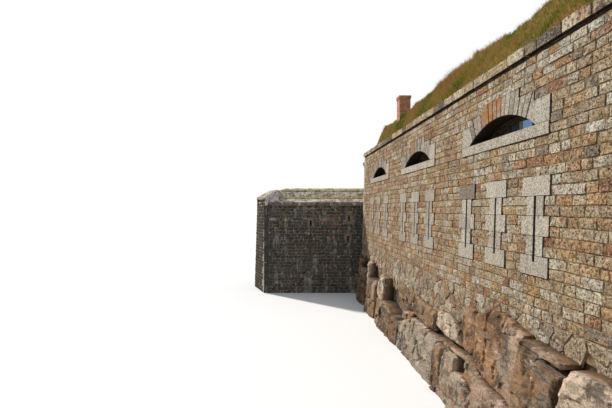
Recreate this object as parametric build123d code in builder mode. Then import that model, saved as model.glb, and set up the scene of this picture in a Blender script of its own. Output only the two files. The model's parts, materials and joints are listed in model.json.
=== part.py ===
from build123d import *
import math
import os

# A stretch of a granite fort: four vaulted casemates behind a loopholed ditch wall that stands
# on bedrock, an earth parapet on top, and a caponier that projects across the ditch at one end.
# Millimetres. X runs along the wall, +Y into the fort, +Z up from the ditch floor. The origin is
# at the foot of the ditch wall, in the middle of the row of casemates.

# Row of casemates
bay_count = 4
bay_pitch = 6280
vault_radius = 2500
springing_height = 4900
floor_height = 2900
floor_thickness = 200
casemate_depth = 7300

# Ditch wall, which leans back by the batter
batter = 0.03
wall_top = 8330
front_wall_depth = 1700
corner_pier_width = 1160
corner_pier_depth = 600
rear_wall_thickness = 1000

# Dressed stones round each loophole, in blocks of one height
loopholes_per_bay = 3
loophole_spacing = 1620
block_height = 390
sill_underside = 3895
slit_width = 70
slit_into_sill = 115
narrow_block = 580
wide_block = 960
dressed_depth = 600
loophole_proud = 35
splay_width = 900

# Lunette windows
lunette_width = 3100
lunette_springing = 6863
lunette_rise = 450
surround_width = 4040
surround_sill = 247
surround_shoulder = 507
surround_step = 200
surround_step_in = 560
surround_steps = 2
surround_proud = 20
window_setback = 700
rear_window_setback = 470
frame_width = 80
frame_depth = 80
post_width = 60
post_depth = 50
posts_per_window = 5
glass_thickness = 10
glass_corners = 9

# Doorways in the rear wall
door_width = 1300
door_springing = 5100
door_trim = 250
rear_trim_depth = 350

# Coping
coping_height = 250
coping_overhang = 100
coping_depth = 800

# Earth parapet and the walk behind it
crest_height = 10800
crest_back = 2350
crest_depth = 2650
inner_slope_run = 1300
walk_height = 9300
end_slope_run = 1300

# Chimney stack
stack_side = 640
stack_top = 11900
stack_back = 2480
stack_inset = 420
stack_cap_height = 150
stack_cap_overhang = 35
flue_side = 240

# Bedrock: the line where the masonry meets it, and the fractured blocks in front of the wall,
# each with its left and right end, its reach from the foot of the wall at both, and its top
rock_mean = 2250
rock_swing = 500
rock_dip_x = -3300
rock_wave = 18000
rock_stations = 15
rock_lean = 0.1
rock_top_fall = 0.12
rock_top_tilt = 0.06
rock_blocks = [
    (-13720, -12300, 380, 520, 2250),
    (-12300, -10700, 640, 560, 1900),
    (-10700, -9500, 450, 620, 2400),
    (-9500, -7800, 700, 600, 1700),
    (-7800, -6600, 520, 640, 2150),
    (-6600, -5200, 700, 640, 1500),
    (-5200, -3700, 640, 560, 1000),
    (-3700, -2400, 520, 500, 1250),
    (-2400, 750, 430, 470, 1500),
    (-1700, 100, 260, 280, 2100),
    (750, 2150, 520, 500, 1450),
    (900, 2250, 330, 360, 2300),
    (2150, 3850, 600, 620, 1050),
    (2250, 3050, 320, 300, 2450),
    (3850, 4750, 560, 520, 1950),
    (3650, 4750, 330, 350, 2950),
    (4750, 5450, 500, 460, 3000),
    (5450, 6800, 600, 640, 2950),
    (6800, 8300, 640, 560, 2850),
    (8300, 9700, 480, 600, 2350),
    (9700, 11200, 660, 560, 2700),
    (11200, 12400, 500, 640, 2150),
    (12400, 13720, 620, 480, 2600),
]

# Caponier, and the root where it joins the row
flank_setback = 580
caponier_width = 4800
caponier_reach = 5900
nose_point = 700
caponier_wall = 1000
caponier_floor_height = 2000
caponier_wall_top = 5420
caponier_springing = 4950
caponier_rise = 300
root_front = 1200
root_coping_depth = 400
tier_heights = [390, 470, 280]
tier_insets = [-80, 650, 1400]
tier_nosings = [200, 70, 120]
tier_runs = [640, 600, 520]
tier_nose_insets = [0, 850, 1400]
cap_length = 900
cap_overhang = 60
cap_nosing = 140
cap_run = 800
cap_flank_run = 700
cap_top = 6410
caponier_door_width = 1000
caponier_door_springing = 3900
small_slit_width = 100
small_slit_height = 350
small_stone_width = 420
small_stone_height = 640
small_stone_depth = 300
small_stone_proud = 15
small_splay_width = 500
small_slits = [(5200, 3360), (5260, 4620), (2900, 4300)]

os.makedirs("parts", exist_ok=True)

# Places that follow from the sizes above
row_half = bay_count * bay_pitch / 2
bay_centres = [(n + 0.5) * bay_pitch - row_half for n in range(bay_count)]
pier_centres = [(n + 1) * bay_pitch - row_half for n in range(bay_count - 1)]
pier_width = bay_pitch - 2 * vault_radius
near_end = row_half + corner_pier_width
far_corner = -near_end
flank_face = far_corner - flank_setback
far_end = flank_face - caponier_width
caponier_middle = flank_face - caponier_width / 2
flank_inside = flank_face - caponier_wall
far_inside = far_end + caponier_wall
rear_inside = front_wall_depth + casemate_depth
rear_face = rear_inside + rear_wall_thickness
loophole_offsets = [
    (n - (loopholes_per_bay - 1) / 2) * loophole_spacing for n in range(loopholes_per_bay)
]
loopholes = [centre + shift for centre in bay_centres for shift in loophole_offsets]
sill_top = sill_underside + block_height
lintel_underside = sill_underside + 4 * block_height
lintel_top = lintel_underside + block_height
coping_top = wall_top + coping_height
coping_front = batter * wall_top - coping_overhang
coping_back = coping_front + coping_depth
front_reach = 1000


def facing(y):
    """Drawing plane that looks out to the ditch, y in from the foot of the wall."""
    return Plane.XZ.offset(-y)


def leaning_face(a, b, lean, proud=0):
    """Face on the foot line from a to b that leans back to its left, moved out by proud."""
    run = (b[0] - a[0], b[1] - a[1])
    length = math.hypot(*run)
    out = (run[1] / length, -run[0] / length)
    return Plane(
        origin=(a[0] + proud * out[0], a[1] + proud * out[1], 0),
        x_dir=(run[0], run[1], 0),
        z_dir=(out[0], out[1], lean),
    )


def scarp_face(proud=0):
    """Leaning face of the ditch wall, moved out by proud."""
    return leaning_face((0, 0), (1, 0), batter, proud)


def block(x, y, z):
    """Plain block between two bounds on each axis."""
    with BuildPart() as solid:
        with BuildSketch(Plane.XY.offset(z[0])):
            with Locations(((x[0] + x[1]) / 2, (y[0] + y[1]) / 2)):
                Rectangle(x[1] - x[0], y[1] - y[0])
        extrude(amount=z[1] - z[0])
    return solid.part


def prism(outline, plane, depth):
    """Straight-sided outline drawn on a plane and carried along its normal."""
    with BuildPart() as solid:
        with BuildSketch(plane):
            with BuildLine():
                Polyline(*outline, close=True)
            make_face()
        extrude(amount=depth)
    return solid.part


def rock_line(x):
    """Height at which the masonry meets the bedrock."""
    return rock_mean - rock_swing * math.cos(2 * math.pi * (x - rock_dip_x) / rock_wave)


def rock_places():
    """Stations along the bedrock, from the far corner to the near end."""
    step = (near_end - far_corner) / (rock_stations - 1)
    return [far_corner + n * step for n in range(rock_stations)]


def rock_block(left, right, reach_left, reach_right, top, tilt):
    """One fractured block in front of the wall, with a leaning front and a falling top."""
    foot = [(left, -reach_left), (right, -reach_right)]
    outline = [*foot, (right, front_wall_depth), (left, front_wall_depth)]
    crown = Plane(origin=((left + right) / 2, 0, top), z_dir=(tilt, -rock_top_fall, 1))
    with BuildPart() as piece:
        add(prism(outline, Plane.XY, top + front_reach))
        split(bisect_by=leaning_face(*foot, rock_lean), keep=Keep.BOTTOM)
        split(bisect_by=scarp_face(), keep=Keep.TOP)
        split(bisect_by=crown, keep=Keep.BOTTOM)
    return piece.part


def segment_arch(width, sill, springing, rise):
    """Closed outline with upright jambs and a segmental head, on the XZ plane."""
    with BuildSketch(Plane.XZ) as opening:
        with BuildLine():
            Line((-width / 2, springing), (-width / 2, sill))
            Line((-width / 2, sill), (width / 2, sill))
            Line((width / 2, sill), (width / 2, springing))
            ThreePointArc((width / 2, springing), (0, springing + rise), (-width / 2, springing))
        make_face()
    return opening.sketch


def lunette_head(grow=0):
    """Segmental lunette opening, made smaller or larger all round."""
    with BuildSketch(Plane.XZ) as opening:
        with BuildLine():
            Line((-lunette_width / 2, lunette_springing), (lunette_width / 2, lunette_springing))
            ThreePointArc(
                (lunette_width / 2, lunette_springing),
                (0, lunette_springing + lunette_rise),
                (-lunette_width / 2, lunette_springing),
            )
        make_face()
        if grow:
            offset(amount=grow, kind=Kind.INTERSECTION)
    return opening.sketch


lunette_radius = (lunette_width**2 / 4 + lunette_rise**2) / (2 * lunette_rise)


def head_height(shift, inside=0):
    """Height of a lunette's head at a distance from its middle, or of a line inside it."""
    centre = lunette_springing + lunette_rise - lunette_radius
    return centre + math.sqrt((lunette_radius - inside) ** 2 - shift**2)


def surround_outline():
    """Dressed stones round a lunette: a sill, two shoulders and a stepped crown."""
    shoulder = lunette_springing + surround_shoulder
    with BuildSketch(Plane.XZ) as outline:
        for n in range(surround_steps + 1):
            top = shoulder + n * surround_step
            width = surround_width - 2 * n * surround_step_in
            base = lunette_springing - surround_sill
            with Locations((0, (base + top) / 2)):
                Rectangle(width, top - base)
    return outline.sketch


def through(sketch, x, y_from, y_to):
    """Outline carried straight through from one depth to another, at x."""
    body = extrude(Pos(x, y_to, 0) * sketch, amount=y_to - y_from, mode=Mode.PRIVATE)
    return body


def dressed_stones():
    """Stack round one slit: narrow, wide and narrow blocks between sill and lintel."""
    with BuildSketch(Plane.XZ) as stack:
        with Locations((0, (sill_top + lintel_underside) / 2)):
            Rectangle(narrow_block, lintel_underside - sill_top)
            Rectangle(wide_block, block_height)
    return stack.sketch


def slit_outline():
    """Slit between the jambs, cut a little way down into the sill block."""
    bottom = sill_top - slit_into_sill
    with BuildSketch(Plane.XZ) as slit:
        with Locations((0, (bottom + lintel_underside) / 2)):
            Rectangle(slit_width, lintel_underside - bottom)
    return slit.sketch


def save(part, name):
    """Label a finished piece and write it."""
    part.label = name
    export_step(part, f"parts/{name}.step")


# Bedrock: the line that the masonry follows, and the blocks that stand in front of it
places = rock_places()
rock_top_line = [(x, rock_line(x)) for x in places]
above_rock = [*rock_top_line, (near_end, wall_top), (far_corner, wall_top)]
below_rock = [*rock_top_line, (near_end, -front_reach), (far_corner, -front_reach)]

with BuildPart() as rock_ledge:
    add(block((far_corner, near_end), (-front_reach, front_wall_depth), (0, wall_top / 2)))
    add(prism(above_rock, facing(2 * front_reach), 4 * front_reach), mode=Mode.SUBTRACT)
    split(bisect_by=scarp_face(), keep=Keep.BOTTOM)
    for number, sizes in enumerate(rock_blocks):
        tilt = rock_top_tilt if number % 2 else -rock_top_tilt
        add(rock_block(*sizes, tilt))
save(rock_ledge.part, "rock_ledge")

with BuildPart() as rock_core:
    add(
        block(
            (-row_half, row_half),
            (front_wall_depth, rear_inside),
            (0, floor_height - floor_thickness),
        )
    )
save(rock_core.part, "rock_core")

# Foot of the ditch wall, from the rock up to the loophole sills
with BuildPart() as scarp_base:
    add(block((far_corner, near_end), (-front_reach, front_wall_depth), (0, sill_underside)))
    add(prism(below_rock, facing(2 * front_reach), 4 * front_reach), mode=Mode.SUBTRACT)
    split(bisect_by=scarp_face(), keep=Keep.BOTTOM)
save(scarp_base.part, "scarp_base")

# Masonry between the embrasures, each a wedge that narrows inwards
edges = [-row_half]
for x in loopholes:
    edges.extend([x - slit_width / 2, x + slit_width / 2])
edges.append(row_half)
with BuildPart() as loophole_piers:
    for left, right in zip(edges[0::2], edges[1::2]):
        splay = (splay_width - slit_width) / 2
        back_left = left if left == -row_half else left + splay
        back_right = right if right == row_half else right - splay
        with BuildSketch(Plane.XY.offset(sill_underside)):
            with BuildLine():
                Polyline(
                    (left, 0),
                    (right, 0),
                    (back_right, front_wall_depth),
                    (back_left, front_wall_depth),
                    close=True,
                )
            make_face()
        extrude(amount=lintel_top - sill_underside)
    for x in loopholes:
        add(through(dressed_stones(), x, -front_reach, dressed_depth), mode=Mode.SUBTRACT)
        for height in (sill_underside, lintel_underside):
            add(
                block(
                    (x - wide_block / 2, x + wide_block / 2),
                    (-front_reach, dressed_depth),
                    (height, height + block_height),
                ),
                mode=Mode.SUBTRACT,
            )
    split(bisect_by=scarp_face(), keep=Keep.BOTTOM)
save(loophole_piers.part, "loophole_piers")

with BuildPart() as loophole_jambs:
    for x in loopholes:
        add(through(dressed_stones(), x, -front_reach, dressed_depth))
    for x in loopholes:
        add(through(slit_outline(), x, -front_reach, dressed_depth), mode=Mode.SUBTRACT)
    split(bisect_by=scarp_face(loophole_proud), keep=Keep.BOTTOM)
save(loophole_jambs.part, "loophole_jambs")

with BuildPart() as loophole_sills:
    for x in loopholes:
        add(
            block(
                (x - wide_block / 2, x + wide_block / 2),
                (-front_reach, dressed_depth),
                (sill_underside, sill_top),
            )
        )
        add(through(slit_outline(), x, -front_reach, dressed_depth), mode=Mode.SUBTRACT)
    split(bisect_by=scarp_face(loophole_proud), keep=Keep.BOTTOM)
save(loophole_sills.part, "loophole_sills")

with BuildPart() as loophole_lintels:
    for x in loopholes:
        add(
            block(
                (x - wide_block / 2, x + wide_block / 2),
                (-front_reach, dressed_depth),
                (lintel_underside, lintel_top),
            )
        )
    split(bisect_by=scarp_face(loophole_proud), keep=Keep.BOTTOM)
save(loophole_lintels.part, "loophole_lintels")

# Upper wall with one lunette in each bay, and the dressed stones round it
for number, centre in enumerate(bay_centres, start=1):
    with BuildPart() as upper_wall:
        add(
            block(
                (centre - bay_pitch / 2, centre + bay_pitch / 2),
                (-front_reach, front_wall_depth),
                (lintel_top, wall_top),
            )
        )
        split(bisect_by=scarp_face(), keep=Keep.BOTTOM)
        add(
            through(surround_outline(), centre, -front_reach, dressed_depth),
            mode=Mode.SUBTRACT,
        )
        add(
            through(lunette_head(), centre, -front_reach, front_wall_depth + front_reach),
            mode=Mode.SUBTRACT,
        )
    save(upper_wall.part, f"upper_wall_{number}")

    with BuildPart() as lunette_surround:
        add(through(surround_outline(), centre, -front_reach, dressed_depth))
        add(
            through(lunette_head(), centre, -front_reach, dressed_depth),
            mode=Mode.SUBTRACT,
        )
        split(bisect_by=scarp_face(surround_proud), keep=Keep.BOTTOM)
    save(lunette_surround.part, f"lunette_surround_{number}")

    # Vault block of the casemate
    with BuildPart() as casemate_vault:
        add(
            block(
                (centre - bay_pitch / 2, centre + bay_pitch / 2),
                (front_wall_depth, rear_inside),
                (springing_height, wall_top),
            )
        )
        with BuildSketch(facing(front_wall_depth)):
            with Locations((centre, springing_height)):
                Circle(vault_radius)
        extrude(amount=-casemate_depth, mode=Mode.SUBTRACT)
    save(casemate_vault.part, f"casemate_vault_{number}")

# Quoined piers at both ends of the ditch wall
with BuildPart() as corner_piers:
    for inner, outer in ((row_half, near_end), (far_corner, -row_half)):
        add(
            block(
                (inner, outer),
                (-front_reach, corner_pier_depth),
                (sill_underside, wall_top),
            )
        )
    split(bisect_by=scarp_face(), keep=Keep.BOTTOM)
save(corner_piers.part, "corner_piers")

# End walls: the far one is thicker, and closes the slot beside the caponier
with BuildPart() as end_walls:
    add(block((row_half, near_end), (front_wall_depth, rear_face), (0, wall_top)))
    add(block((row_half, near_end), (corner_pier_depth, front_wall_depth), (sill_underside, wall_top)))
    add(block((flank_face, -row_half), (front_wall_depth, rear_face), (0, wall_top)))
    add(
        block(
            (far_corner, -row_half), (corner_pier_depth, front_wall_depth), (sill_underside, wall_top)
        )
    )
    add(block((flank_face, far_corner), (corner_pier_depth, front_wall_depth), (0, wall_top)))
save(end_walls.part, "end_walls")

# Piers that carry the vaults, whole between casemates and half at the ends
with BuildPart() as cross_walls:
    bands = [(x - pier_width / 2, x + pier_width / 2) for x in pier_centres]
    bands.insert(0, (-row_half, -row_half + pier_width / 2))
    bands.append((row_half - pier_width / 2, row_half))
    for band in bands:
        add(
            block(
                band,
                (front_wall_depth, rear_inside),
                (floor_height - floor_thickness, springing_height),
            )
        )
save(cross_walls.part, "cross_walls")

with BuildPart() as casemate_floor:
    for centre in bay_centres:
        add(
            block(
                (centre - vault_radius, centre + vault_radius),
                (front_wall_depth, rear_inside),
                (floor_height - floor_thickness, floor_height),
            )
        )
save(casemate_floor.part, "casemate_floor")

# Rear wall: a plinth, piers between the doorways, and the wall above them
with BuildPart() as rear_plinth:
    add(block((-row_half, row_half), (rear_inside, rear_face), (0, floor_height)))
save(rear_plinth.part, "rear_plinth")

door_edges = [-row_half]
for x in bay_centres:
    door_edges.extend([x - door_width / 2, x + door_width / 2])
door_edges.append(row_half)
with BuildPart() as rear_piers:
    for left, right in zip(door_edges[0::2], door_edges[1::2]):
        add(block((left, right), (rear_inside, rear_face), (floor_height, door_springing)))
    for centre in bay_centres:
        add(
            block(
                (centre - door_width / 2 - door_trim, centre + door_width / 2 + door_trim),
                (rear_face - rear_trim_depth, rear_face),
                (floor_height, door_springing),
            ),
            mode=Mode.SUBTRACT,
        )
save(rear_piers.part, "rear_piers")


def door_opening(grow=0):
    """Round-headed doorway, wider by grow on each side."""
    half = door_width / 2 + grow
    return segment_arch(2 * half, floor_height, door_springing, half)


with BuildPart() as rear_upper_wall:
    add(block((-row_half, row_half), (rear_inside, rear_face), (door_springing, wall_top)))
    for centre in bay_centres:
        add(
            through(door_opening(), centre, rear_inside - front_reach, rear_face),
            mode=Mode.SUBTRACT,
        )
        add(
            through(door_opening(door_trim), centre, rear_face - rear_trim_depth, rear_face),
            mode=Mode.SUBTRACT,
        )
        add(
            through(lunette_head(), centre, rear_inside - front_reach, rear_face),
            mode=Mode.SUBTRACT,
        )
        add(
            through(surround_outline(), centre, rear_face - rear_trim_depth, rear_face),
            mode=Mode.SUBTRACT,
        )
save(rear_upper_wall.part, "rear_upper_wall")

with BuildPart() as rear_lunette_surrounds:
    for centre in bay_centres:
        add(
            through(
                surround_outline(),
                centre,
                rear_face - rear_trim_depth,
                rear_face + surround_proud,
            )
        )
    for centre in bay_centres:
        add(
            through(lunette_head(), centre, rear_inside, rear_face + front_reach),
            mode=Mode.SUBTRACT,
        )
save(rear_lunette_surrounds.part, "rear_lunette_surrounds")

with BuildPart() as rear_door_surrounds:
    for centre in bay_centres:
        add(
            through(
                door_opening(door_trim),
                centre,
                rear_face - rear_trim_depth,
                rear_face + surround_proud,
            )
        )
    for centre in bay_centres:
        add(
            through(door_opening(), centre, rear_inside, rear_face + front_reach),
            mode=Mode.SUBTRACT,
        )
save(rear_door_surrounds.part, "rear_door_surrounds")

# Lunette windows: a frame with posts, and a sheet of glass behind the posts
window_places = [(x, window_setback) for x in bay_centres]
window_places += [(x, rear_face - rear_window_setback - frame_depth) for x in bay_centres]
post_gap = lunette_width / (posts_per_window + 1)


def window_posts(x, y):
    """Upright posts of one window, let into the arched head of its frame."""
    with BuildPart() as posts:
        for n in range(posts_per_window):
            shift = (n - (posts_per_window - 1) / 2) * post_gap
            top = head_height(abs(shift) + post_width / 2, frame_width / 2)
            add(
                block(
                    (x + shift - post_width / 2, x + shift + post_width / 2),
                    (y, y + post_depth),
                    (lunette_springing, top),
                )
            )
    return posts.part


def glass_outline():
    """Sheet of glass inside a frame, with a head of short straight edges."""
    sill = lunette_springing + frame_width
    drop = lunette_radius - lunette_rise + frame_width
    half = math.sqrt((lunette_radius - frame_width) ** 2 - drop**2)
    steps = [half * (1 - 2 * n / (glass_corners - 1)) for n in range(glass_corners)]
    head = [(shift, head_height(shift, frame_width)) for shift in steps[1:-1]]
    with BuildSketch(Plane.XZ) as sheet:
        with BuildLine():
            Polyline((half, sill), *head, (-half, sill), close=True)
        make_face()
    return sheet.sketch


with BuildPart() as window_frames:
    for x, y in window_places:
        add(through(lunette_head(), x, y, y + frame_depth))
        add(
            through(lunette_head(-frame_width), x, y, y + frame_depth),
            mode=Mode.SUBTRACT,
        )
    for x, y in window_places:
        add(window_posts(x, y))
save(window_frames.part, "window_frames")

with BuildPart() as window_glass:
    for x, y in window_places:
        start = y + post_depth
        add(through(glass_outline(), x, start, start + glass_thickness))
save(window_glass.part, "window_glass")

# Copings
with BuildPart() as front_coping:
    add(
        block(
            (far_corner - coping_overhang, near_end + coping_overhang),
            (coping_front, coping_back),
            (wall_top, coping_top),
        )
    )
save(front_coping.part, "front_coping")

rear_coping_back = rear_face + coping_overhang
rear_coping_front = rear_coping_back - coping_depth
with BuildPart() as rear_coping:
    add(
        block(
            (far_end - coping_overhang, near_end + coping_overhang),
            (rear_coping_front, rear_coping_back),
            (wall_top, coping_top),
        )
    )
save(rear_coping.part, "rear_coping")

# Root of the caponier: the block that its gallery runs into, as high as the row
root_coping_front = root_front - coping_overhang
root_coping_back = root_coping_front + root_coping_depth
with BuildPart() as root_block:
    add(block((far_end, flank_face), (root_front, rear_face), (caponier_wall_top, wall_top)))
save(root_block.part, "root_block")

with BuildPart() as root_coping:
    add(
        block(
            (far_end - coping_overhang, far_corner),
            (root_coping_front, root_coping_back),
            (wall_top, coping_top),
        )
    )
save(root_coping.part, "root_coping")

# Earth parapet, sloped at both ends, with the chimney stack standing in it
crest_inner = crest_back + crest_depth
walk_front = crest_inner + inner_slope_run


def bank_outline(toe):
    """Section of the parapet from its toe behind the coping to the walk."""
    return [
        (toe, wall_top),
        (toe, coping_top),
        (crest_back, crest_height),
        (crest_inner, crest_height),
        (walk_front, walk_height),
        (walk_front, wall_top),
    ]


def end_slope(x, side):
    """Sloping end of the bank, whose foot is at x; side points out of the bank."""
    rise = crest_height - coping_top
    return Plane(origin=(x, 0, coping_top), x_dir=(0, 1, 0), z_dir=(side * rise, 0, end_slope_run))


with BuildPart() as earth_parapet:
    add(prism(bank_outline(coping_back), Plane.YZ.offset(far_corner), near_end - far_corner))
    add(prism(bank_outline(root_coping_back), Plane.YZ.offset(far_end), far_corner - far_end))
    split(bisect_by=end_slope(near_end, 1), keep=Keep.BOTTOM)
    split(bisect_by=end_slope(far_end, -1), keep=Keep.BOTTOM)
    stack_x = far_corner + stack_inset
    half_stack = stack_side / 2
    add(
        block(
            (stack_x - half_stack, stack_x + half_stack),
            (stack_back - half_stack, stack_back + half_stack),
            (wall_top, stack_top),
        ),
        mode=Mode.SUBTRACT,
    )
save(earth_parapet.part, "earth_parapet")

with BuildPart() as rampart_walk:
    add(block((far_end, near_end), (walk_front, rear_coping_front), (wall_top, walk_height)))
save(rampart_walk.part, "rampart_walk")

with BuildPart() as chimney_stack:
    with BuildSketch(Plane.XY.offset(wall_top)):
        with Locations((stack_x, stack_back)):
            Rectangle(stack_side, stack_side)
            Rectangle(flue_side, flue_side, mode=Mode.SUBTRACT)
    extrude(amount=stack_top - wall_top)
    with BuildSketch(Plane.XY.offset(stack_top - stack_cap_height)):
        with Locations((stack_x, stack_back)):
            Rectangle(stack_side + 2 * stack_cap_overhang, stack_side + 2 * stack_cap_overhang)
            Rectangle(flue_side, flue_side, mode=Mode.SUBTRACT)
    extrude(amount=stack_cap_height)
save(chimney_stack.part, "chimney_stack")

# Caponier
shoulder_back = -(caponier_reach - caponier_wall)
nose_foot = [
    (far_end, -caponier_reach),
    (caponier_middle, -caponier_reach - nose_point),
    (flank_face, -caponier_reach),
]


def nose_faces(lean=batter, proud=0):
    """Both leaning faces over the nose, from one shoulder to the tip and on to the other."""
    return [leaning_face(a, b, lean, proud) for a, b in zip(nose_foot, nose_foot[1:])]


with BuildPart() as caponier_nose:
    with BuildSketch(Plane.XY):
        with BuildLine():
            Polyline(
                (far_end, shoulder_back),
                *nose_foot,
                (flank_face, shoulder_back),
                close=True,
            )
        make_face()
    extrude(amount=caponier_wall_top)
    for face in nose_faces():
        split(bisect_by=face, keep=Keep.BOTTOM)
save(caponier_nose.part, "caponier_nose")


def small_embrasure(x_out, x_in, y, z):
    """Hole that widens from a small slit in one face to a wide mouth in the other."""
    narrow = small_slit_width / 2
    wide = small_splay_width / 2
    outline = [(x_out, y - narrow), (x_in, y - wide), (x_in, y + wide), (x_out, y + narrow)]
    return prism(outline, Plane.XY.offset(z - small_slit_height / 2), small_slit_height)


slit_places = [(shift - caponier_reach, z) for shift, z in small_slits]
flanks = ((flank_face, flank_inside), (far_end, far_inside))
with BuildPart() as caponier_flanks:
    for outer, inner in flanks:
        low = min(outer, inner)
        add(block((low, low + caponier_wall), (shoulder_back, rear_face), (0, caponier_wall_top)))
    for outer, inner in flanks:
        inward = 1 if inner > outer else -1
        stone_back = outer + inward * small_stone_depth
        for y, z in slit_places:
            add(
                block(
                    (min(outer, stone_back), max(outer, stone_back)),
                    (y - small_stone_width / 2, y + small_stone_width / 2),
                    (z - small_stone_height / 2, z + small_stone_height / 2),
                ),
                mode=Mode.SUBTRACT,
            )
            add(small_embrasure(stone_back, inner, y, z), mode=Mode.SUBTRACT)
save(caponier_flanks.part, "caponier_flanks")

with BuildPart() as caponier_loopholes:
    for outer, inner in flanks:
        inward = 1 if inner > outer else -1
        stone_back = outer + inward * small_stone_depth
        stone_front = outer - inward * small_stone_proud
        for y, z in slit_places:
            with BuildSketch(Plane.YZ.offset(min(stone_back, stone_front))):
                with Locations((y, z)):
                    Rectangle(small_stone_width, small_stone_height)
                    Rectangle(small_slit_width, small_slit_height, mode=Mode.SUBTRACT)
            extrude(amount=small_stone_depth + small_stone_proud)
save(caponier_loopholes.part, "caponier_loopholes")

with BuildPart() as caponier_floor:
    add(block((far_inside, flank_inside), (shoulder_back, rear_inside), (0, caponier_floor_height)))
save(caponier_floor.part, "caponier_floor")

with BuildPart() as caponier_rear_wall:
    add(block((far_inside, flank_inside), (rear_inside, rear_face), (0, caponier_wall_top)))
    gate = segment_arch(
        caponier_door_width,
        caponier_floor_height,
        caponier_door_springing,
        caponier_door_width / 2,
    )
    add(
        through(gate, caponier_middle, rear_inside - front_reach, rear_face),
        mode=Mode.SUBTRACT,
    )
save(caponier_rear_wall.part, "caponier_rear_wall")

with BuildPart() as caponier_vault:
    add(
        block(
            (far_inside, flank_inside),
            (shoulder_back, rear_inside),
            (caponier_springing, caponier_wall_top),
        )
    )
    soffit = segment_arch(
        flank_inside - far_inside,
        caponier_springing - front_reach,
        caponier_springing,
        caponier_rise,
    )
    add(
        through(soffit, caponier_middle, shoulder_back - front_reach, rear_inside),
        mode=Mode.SUBTRACT,
    )
save(caponier_vault.part, "caponier_vault")

# Stone slab roof of the caponier: sloping tiers that step in from the flanks and the nose
tier_floors = [caponier_wall_top + sum(tier_heights[:n]) for n in range(len(tier_heights))]
tip = -caponier_reach - nose_point - front_reach


def flank_faces(lean, proud):
    """Sloping faces along both flanks of the roof."""
    edges = (((far_end, rear_face), nose_foot[0]), (nose_foot[-1], (flank_face, rear_face)))
    return [leaning_face(a, b, lean, proud) for a, b in edges]


tiers = []
for number, (floor, height, tier_inset, nosing, run, nose_inset) in enumerate(
    zip(tier_floors, tier_heights, tier_insets, tier_nosings, tier_runs, tier_nose_insets)
):
    lean = run / (height - nosing)
    with BuildPart() as tier:
        add(
            block(
                (far_end + tier_inset, flank_face - tier_inset),
                (tip, root_front),
                (floor, floor + height),
            )
        )
        faces = flank_faces(lean, lean * (floor + nosing) - tier_inset)
        if number == 0:
            faces += nose_faces()
        else:
            faces += nose_faces(0, -nose_inset)
        if number == len(tier_heights) - 1:
            faces += nose_faces(lean, lean * (floor + nosing) - nose_inset)
        for face in faces:
            split(bisect_by=face, keep=Keep.BOTTOM)
        add(
            block((flank_face, far_corner), (corner_pier_depth, root_front), (floor, floor + height)),
            mode=Mode.SUBTRACT,
        )
    tiers.append(tier.part)
save(tiers[0], "caponier_coping")

# Raised slabs over the nose: a wedge that levels the sloping coping, and the cap on it
cap_back = -caponier_reach + cap_length
cap_start = caponier_wall_top + tier_nosings[0]
flank_lean = cap_flank_run / (cap_top - cap_start)
cap_flanks = flank_faces(flank_lean, flank_lean * cap_start - tier_insets[0])
cap_floor = tier_floors[1]
cap_edge = cap_overhang - batter * cap_floor
cap_lean = cap_run / (cap_top - cap_floor - cap_nosing)
with BuildPart() as cap_wedge:
    add(block((far_end, flank_face), (tip, cap_back), (cap_start, cap_floor)))
    for face in nose_faces() + cap_flanks:
        split(bisect_by=face, keep=Keep.BOTTOM)
    add(tiers[0], mode=Mode.SUBTRACT)

with BuildPart() as nose_cap:
    add(block((far_end, flank_face), (tip, cap_back), (cap_floor, cap_top)))
    edges = nose_faces(0, cap_edge)
    edges += nose_faces(cap_lean, cap_edge + cap_lean * (cap_floor + cap_nosing))
    for face in edges + cap_flanks:
        split(bisect_by=face, keep=Keep.BOTTOM)

with BuildPart() as caponier_roof:
    for piece in (*tiers[1:], nose_cap.part, cap_wedge.part):
        add(piece)
save(caponier_roof.part, "caponier_roof")
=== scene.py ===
import functools
import itertools
import json
import math

import bpy
import numpy as np
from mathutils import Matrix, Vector, noise


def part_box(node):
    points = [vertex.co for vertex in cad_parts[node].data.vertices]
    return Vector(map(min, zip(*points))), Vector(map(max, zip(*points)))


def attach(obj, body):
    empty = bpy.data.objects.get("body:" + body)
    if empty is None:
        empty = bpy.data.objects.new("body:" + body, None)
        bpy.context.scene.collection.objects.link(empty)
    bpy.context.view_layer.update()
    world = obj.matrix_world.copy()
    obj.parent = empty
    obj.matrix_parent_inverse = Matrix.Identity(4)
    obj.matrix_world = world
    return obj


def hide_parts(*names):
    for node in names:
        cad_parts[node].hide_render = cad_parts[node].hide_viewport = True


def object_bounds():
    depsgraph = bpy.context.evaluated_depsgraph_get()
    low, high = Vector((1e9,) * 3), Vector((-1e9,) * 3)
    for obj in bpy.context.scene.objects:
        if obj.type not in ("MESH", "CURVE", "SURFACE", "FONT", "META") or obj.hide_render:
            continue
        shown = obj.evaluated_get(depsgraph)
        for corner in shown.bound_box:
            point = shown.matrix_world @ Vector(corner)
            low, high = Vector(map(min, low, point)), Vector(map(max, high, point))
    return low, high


# A stretch of granite fort: loopholed ditch wall on bedrock, lunette windows, an earth parapet,
# a brick chimney and a caponier. Metres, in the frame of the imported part.
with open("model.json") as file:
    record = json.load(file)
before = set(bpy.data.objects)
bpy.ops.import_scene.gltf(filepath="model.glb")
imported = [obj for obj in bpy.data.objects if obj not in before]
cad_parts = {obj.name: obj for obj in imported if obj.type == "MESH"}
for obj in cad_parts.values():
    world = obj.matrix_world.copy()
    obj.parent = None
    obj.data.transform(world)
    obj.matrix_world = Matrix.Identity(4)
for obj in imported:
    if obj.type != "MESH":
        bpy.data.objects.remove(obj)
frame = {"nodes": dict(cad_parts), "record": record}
cad_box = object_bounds()

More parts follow.
